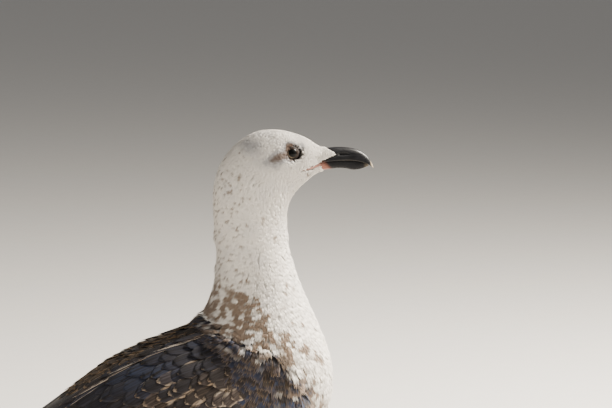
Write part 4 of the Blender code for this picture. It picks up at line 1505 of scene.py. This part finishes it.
def build_tail():
    """Twelve tail feathers, closed over each other, the middle pair on top."""
    rng = np.random.default_rng(plumage().seed + 2)
    low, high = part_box("tail")
    count = 12
    template = vane_template(8, 22, 0.03, 0.45, 0.9, 1.5)
    order = np.arange(count)
    share = (order - (count - 1) / 2) / ((count - 1) / 2)
    down = np.abs(share)
    root_x, tip_x = high.x - 6 * MM, low.x + 2 * MM
    middle_z, end_z = high.z - 5 * MM, low.z + 3.2 * MM
    across = share * (high.y - 11 * MM)
    start = np.stack([np.full(count, root_x), share * 9 * MM, middle_z - down * 1.2 * MM], axis=1)
    end = np.stack([tip_x + down**2 * 7 * MM, across, end_z - down**2 * 1.2 * MM], axis=1)
    tilt = np.stack([np.full(count, 0.28), 0.08 * share, np.ones(count)], axis=1)
    lie = unit(end - start)
    normal = unit(tilt - lie * (tilt * lie).sum(axis=1)[:, None])
    stacked = (1 - down) * 1.3 * MM + np.where(share > 0, 0.12, 0.0) * MM
    frames = {
        "start": start,
        "normal": normal,
        "lie": lie,
        "end": end,
        "end_normal": normal,
        "end_lie": lie,
        "length": np.linalg.norm(end - start, axis=1),
        "width": 11.0 * MM,
        "low": stacked,
        "high": stacked,
        "camber": 0.7 * MM,
        "thick": 0.22 * MM,
        "seed": rng.random(count),
    }
    at = np.stack([(order % 4 + 0.5) / 4, (order // 4 + 0.5) / 4], axis=1)
    marks = quill_marks(1.0, 0.1, 1.0)(start, frames["seed"], None)
    obj = feather_mesh("tail_feathers", template, frames, marks, (at, 0.2))
    finished(obj, "flight_feather", "tail", material=bpy.data.materials.get("flight_feathers"))


# ---------------------------------------------------------------- bill, eyes and claws


def bill_point(upper, x, turn):
    """Surface of the upper or lower half of the bill, millimetres from the crown, at a turn round it."""
    rows = UPPER_LINE if upper else LOWER_LINE
    ridge, width = [np.interp(x, rows[:, 0], rows[:, k]) for k in (1, 2)]
    edge = np.interp(x, MOUTH_POINTS[:, 0], MOUTH_POINTS[:, 1])
    side, lift = math.cos(turn), abs(math.sin(turn))
    y = width * math.copysign(abs(side) ** 0.75, side)
    z = edge + (ridge - edge) * lift**0.92
    if upper:
        # The nostril's slit, and the groove that it lies in.
        y *= 1 - 0.34 * math.exp(-(((x - 67.0) / 4.8) ** 4) - (((z + 22.6) / 0.9) ** 2))
        groove = math.exp(-(((z + 23.9 - 0.06 * (x - 60)) / 0.7) ** 2))
        y *= 1 - 0.08 * (groove * max(0.0, 1 - abs((x - 66) / 13) ** 3))
    return x, y, z, edge, ridge


def mandible(upper):
    """Half of the bill: rounded from its ridge to a cutting edge, flat where the halves meet."""
    rows = UPPER_LINE if upper else LOWER_LINE

    def shape(u, v):
        x = np.interp(v, np.linspace(0, 1, len(rows)), rows[:, 0])
        turn = 2 * math.pi * u
        x, y, z, edge, ridge = bill_point(upper, x, turn)
        gap = 0.12 if upper else -0.12
        if math.sin(turn) >= 0:
            z = max(z, edge + gap) if upper else min(z, edge + gap)
        else:
            y *= 0.96
            depth = 0.9 * abs(math.sin(turn)) ** 0.5 * min(1.0, abs(ridge - edge) / 4)
            z = edge + gap + (depth if upper else -depth)
        return from_crown(x, z, y)

    return capped_sheet(96, 110, shape)


def lore_skin():
    """Thin skin that carries the face's feathers forward over the bill's base, to a point on each side."""
    turns, reaches = zip(*FEATHER_EDGE)

    def shape(u, v):
        turn = 2 * math.pi * u
        lift = math.degrees(math.asin(math.sin(turn)))
        front = np.interp(lift, turns, reaches)
        x = BILL_BASE + (front - BILL_BASE) * v
        x, y, z, _, _ = bill_point(lift >= 0, x, turn)
        outward = Vector((0, y, z - BILL_MIDDLE)).normalized()
        proud = 0.45 * (1 - v**3) - 0.12 * v
        return from_crown(x, z + outward.z * proud, y + outward.y * proud)

    return wrapped_sheet(72, 30, shape)


def build_bill():
    mouth_x, mouth_z = zip(*MOUTH)
    for half, upper, specular, gloss in (("upper", True, 0.2, 0.07), ("lower", False, 0.08, 0.02)):
        obj = object_from_bmesh(f"horn_{half}", mandible(upper))
        x, _, z = from_crown_mm(points_of(obj))
        over = z - np.interp(x, mouth_x, mouth_z)
        if upper:
            pale = smoothstep(91.5, 94.5, x) * 0.9
            pale = np.maximum(pale, 0.1 * (1 - smoothstep(0.2, 0.9, over)) * smoothstep(56, 72, x))
            pink = (1 - smoothstep(0.4, 1.6, over)) * (1 - smoothstep(44, 54, x))
        else:
            pale = 0.3 * smoothstep(85, 91, x)
            pink = (1 - smoothstep(46, 52.5, x + 0.9 * over)) * 0.95
        set_vectors(obj.data, "mark", np.stack([pale, pink, pink * 0], axis=1))
        material = horn_material(f"horn_{half}_horn", specular, gloss)
        finished(obj, "bill_horn", f"bill_{half}", material=material)


def build_eyes():
    material = eye_material()
    for side, word in SIDES:

        def shape(u, v, side=side):
            turn, tilt = 2 * math.pi * u, math.pi * v
            swell = 1 + 0.05 * math.exp(-((tilt / 0.55) ** 2))
            lift = EYE_RADIUS * math.cos(tilt) * swell - 0.02 * EYE_RADIUS
            return around_eye(side, EYE_RADIUS * math.sin(tilt), lift, turn)

        obj = object_from_bmesh(f"eyeball_{word}", wrapped_sheet(64, 48, shape))
        points = points_of(obj) - np.array(eye_centre(side))
        axis = np.array(eye_axis(side))
        lift = points @ axis
        out = np.linalg.norm(points - lift[:, None] * axis, axis=1)
        angle = np.arctan2(points[:, 2], points[:, 0])
        ring = np.where(lift > 0, out / (0.72 * EYE_RADIUS), 2.0)
        set_vectors(obj.data, "vane", np.stack([ring, np.cos(angle) * 3, np.sin(angle) * 3], axis=1))
        finished(obj, "eye", f"eye_{word}", material=material)


def claw(name):
    """Curved horn inside the outline of its solid."""
    low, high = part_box(name)
    points = np.array([v.co for v in NODES[name].data.vertices])
    middle = points.mean(axis=0)
    _, _, axes = np.linalg.svd(points - middle)
    run = Vector(axes[0] * (1, 1, 0)).normalized()
    if (run.x > 0) == ("hind" in name):
        run = -run
    reach = [Vector(p - middle).dot(run) for p in points]
    start, length = min(reach), max(reach) - min(reach)
    across = run.cross(Vector((0, 0, 1)))
    half = (high.z - low.z) / 2

    def shape(u, v):
        turn = 2 * math.pi * u
        thick = half * 0.74 * (1 - v**1.6) ** 0.7
        drop = (high.z - low.z - half * 0.8) * v**1.8
        point = Vector((middle[0], middle[1], high.z - half * 0.78 - drop)) + run * (start + length * v)
        return point + across * math.cos(turn) * thick * 0.78 + Vector((0, 0, math.sin(turn) * thick))

    return capped_sheet(14, 12, shape)


def build_claws():
    names = [name for name in NODES if name.startswith("claw_")]
    obj = object_from_bmesh("claws", together([claw(name) for name in sorted(names)]))
    finished(obj, "claw", *names, material=claw_material())


# ---------------------------------------------------------------- stage


def aim(obj, place, target):
    obj.location = place
    obj.rotation_mode = "QUATERNION"
    obj.rotation_quaternion = (Vector(target) - Vector(place)).to_track_quat("-Z", "Y")


def soft_light(name, place, target, size, power, tint):
    data = bpy.data.lights.new(name, "AREA")
    data.size, data.energy, data.color = size, power, tint
    obj = new_object(name, data)
    aim(obj, place, target)
    return obj


def build_stage():
    stage = bpy.context.scene.gull_stage
    bm = bmesh.new()
    bmesh.ops.create_grid(bm, x_segments=8, y_segments=8, size=9.0)
    floor = object_from_bmesh("floor", bm)
    floor.data.materials.append(floor_material())
    world = bpy.data.worlds.new("studio")
    world.use_nodes = True
    background = world.node_tree.nodes["Background"]
    background.inputs["Color"].default_value = (0.90, 0.89, 0.88, 1.0)
    background.inputs["Strength"].default_value = 0.28
    bpy.context.scene.world = world
    target = from_crown(34, -68)
    a, e = stage.azimuth, stage.elevation
    back = Vector((math.sin(a) * math.cos(e), -math.cos(a) * math.cos(e), math.sin(e)))
    camera_data = bpy.data.cameras.new("camera")
    camera_data.sensor_width = 36
    camera_data.lens = 36 * stage.distance / stage.width
    camera = new_object("camera", camera_data)
    aim(camera, target + back * stage.distance, target)
    bpy.context.scene.camera = camera
    soft_light("key", (1.55, 0.15, 1.6), (0.08, 0, 0.25), 0.9, stage.key, (1.0, 0.93, 0.82))
    fill = soft_light("fill", (-0.5, -2.0, 1.5), (0.05, 0, 0.25), 1.8, stage.fill, (1.0, 0.95, 0.88))
    fill.visible_glossy = False
    soft_light("spark", (-0.55, -1.9, 1.0), (0.15, 0, 0.40), 0.22, 0.9, (1.0, 1.0, 1.0))


# ---------------------------------------------------------------- operators


class GullOperator:
    """Shared by the operators: each runs its build, which raises an error if it can't finish."""

    bl_options = {"REGISTER", "UNDO"}

    def execute(self, context):
        self.build()
        return {"FINISHED"}


class GULL_OT_stage(GullOperator, bpy.types.Operator):
    """Add the floor, the lights and the camera"""

    bl_idname = "gull.stage"
    bl_label = "Stage"
    build = staticmethod(build_stage)


class GULL_OT_skin(GullOperator, bpy.types.Operator):
    """Make one skin over head, neck, trunk, wings, legs and feet"""

    bl_idname = "gull.skin"
    bl_label = "Skin"
    build = staticmethod(build_skin)


class GULL_OT_bill(GullOperator, bpy.types.Operator):
    """Model both halves of the bill"""

    bl_idname = "gull.bill"
    bl_label = "Bill"
    build = staticmethod(build_bill)


class GULL_OT_eyes(GullOperator, bpy.types.Operator):
    """Model both eyeballs"""

    bl_idname = "gull.eyes"
    bl_label = "Eyes"
    build = staticmethod(build_eyes)


class GULL_OT_claws(GullOperator, bpy.types.Operator):
    """Model the claws"""

    bl_idname = "gull.claws"
    bl_label = "Claws"
    build = staticmethod(build_claws)


class GULL_OT_body_coat(GullOperator, bpy.types.Operator):
    """Lay the contour feathers over head, neck and body"""

    bl_idname = "gull.body_coat"
    bl_label = "Body feathers"
    build = staticmethod(build_body_coat)


class GULL_OT_wings(GullOperator, bpy.types.Operator):
    """Lay scapulars, coverts, tertials and quills over both folded wings"""

    bl_idname = "gull.wings"
    bl_label = "Wing feathers"
    build = staticmethod(build_wings)


class GULL_OT_tail(GullOperator, bpy.types.Operator):
    """Lay the tail feathers"""

    bl_idname = "gull.tail"
    bl_label = "Tail feathers"
    build = staticmethod(build_tail)


OPERATORS = (
    GULL_OT_stage,
    GULL_OT_skin,
    GULL_OT_bill,
    GULL_OT_eyes,
    GULL_OT_claws,
    GULL_OT_body_coat,
    GULL_OT_wings,
    GULL_OT_tail,
)


class GULL_PT_panel(bpy.types.Panel):
    """Lists the pieces and their settings"""

    bl_idname = "GULL_PT_panel"
    bl_label = "Gull"
    bl_space_type = "VIEW_3D"
    bl_region_type = "UI"
    bl_category = "Gull"

    def draw(self, context):
        for operator in OPERATORS:
            self.layout.operator(operator.bl_idname)
        for group in ("gull_plumage", "gull_bare", "gull_stage"):
            settings = getattr(context.scene, group)
            column = self.layout.column()
            for name in settings.bl_rna.properties.keys():
                if name not in ("rna_type", "name"):
                    column.prop(settings, name)


GROUPS = (
    ("gull_plumage", GullPlumageSettings),
    ("gull_bare", GullBareSettings),
    ("gull_stage", GullStageSettings),
)


def register():
    for name, group in GROUPS:
        bpy.utils.register_class(group)
        setattr(bpy.types.Scene, name, bpy.props.PointerProperty(type=group))
    for operator in OPERATORS:
        bpy.utils.register_class(operator)
    bpy.utils.register_class(GULL_PT_panel)


def unregister():
    bpy.utils.unregister_class(GULL_PT_panel)
    for operator in reversed(OPERATORS):
        bpy.utils.unregister_class(operator)
    for name, group in reversed(GROUPS):
        delattr(bpy.types.Scene, name)
        bpy.utils.unregister_class(group)


def main():
    register()
    bpy.ops.gull.stage()
    bpy.ops.gull.skin()
    bpy.ops.gull.bill()
    bpy.ops.gull.eyes()
    bpy.ops.gull.claws()
    bpy.ops.gull.body_coat()
    bpy.ops.gull.wings()
    bpy.ops.gull.tail()


if __name__ == "__main__":
    main()
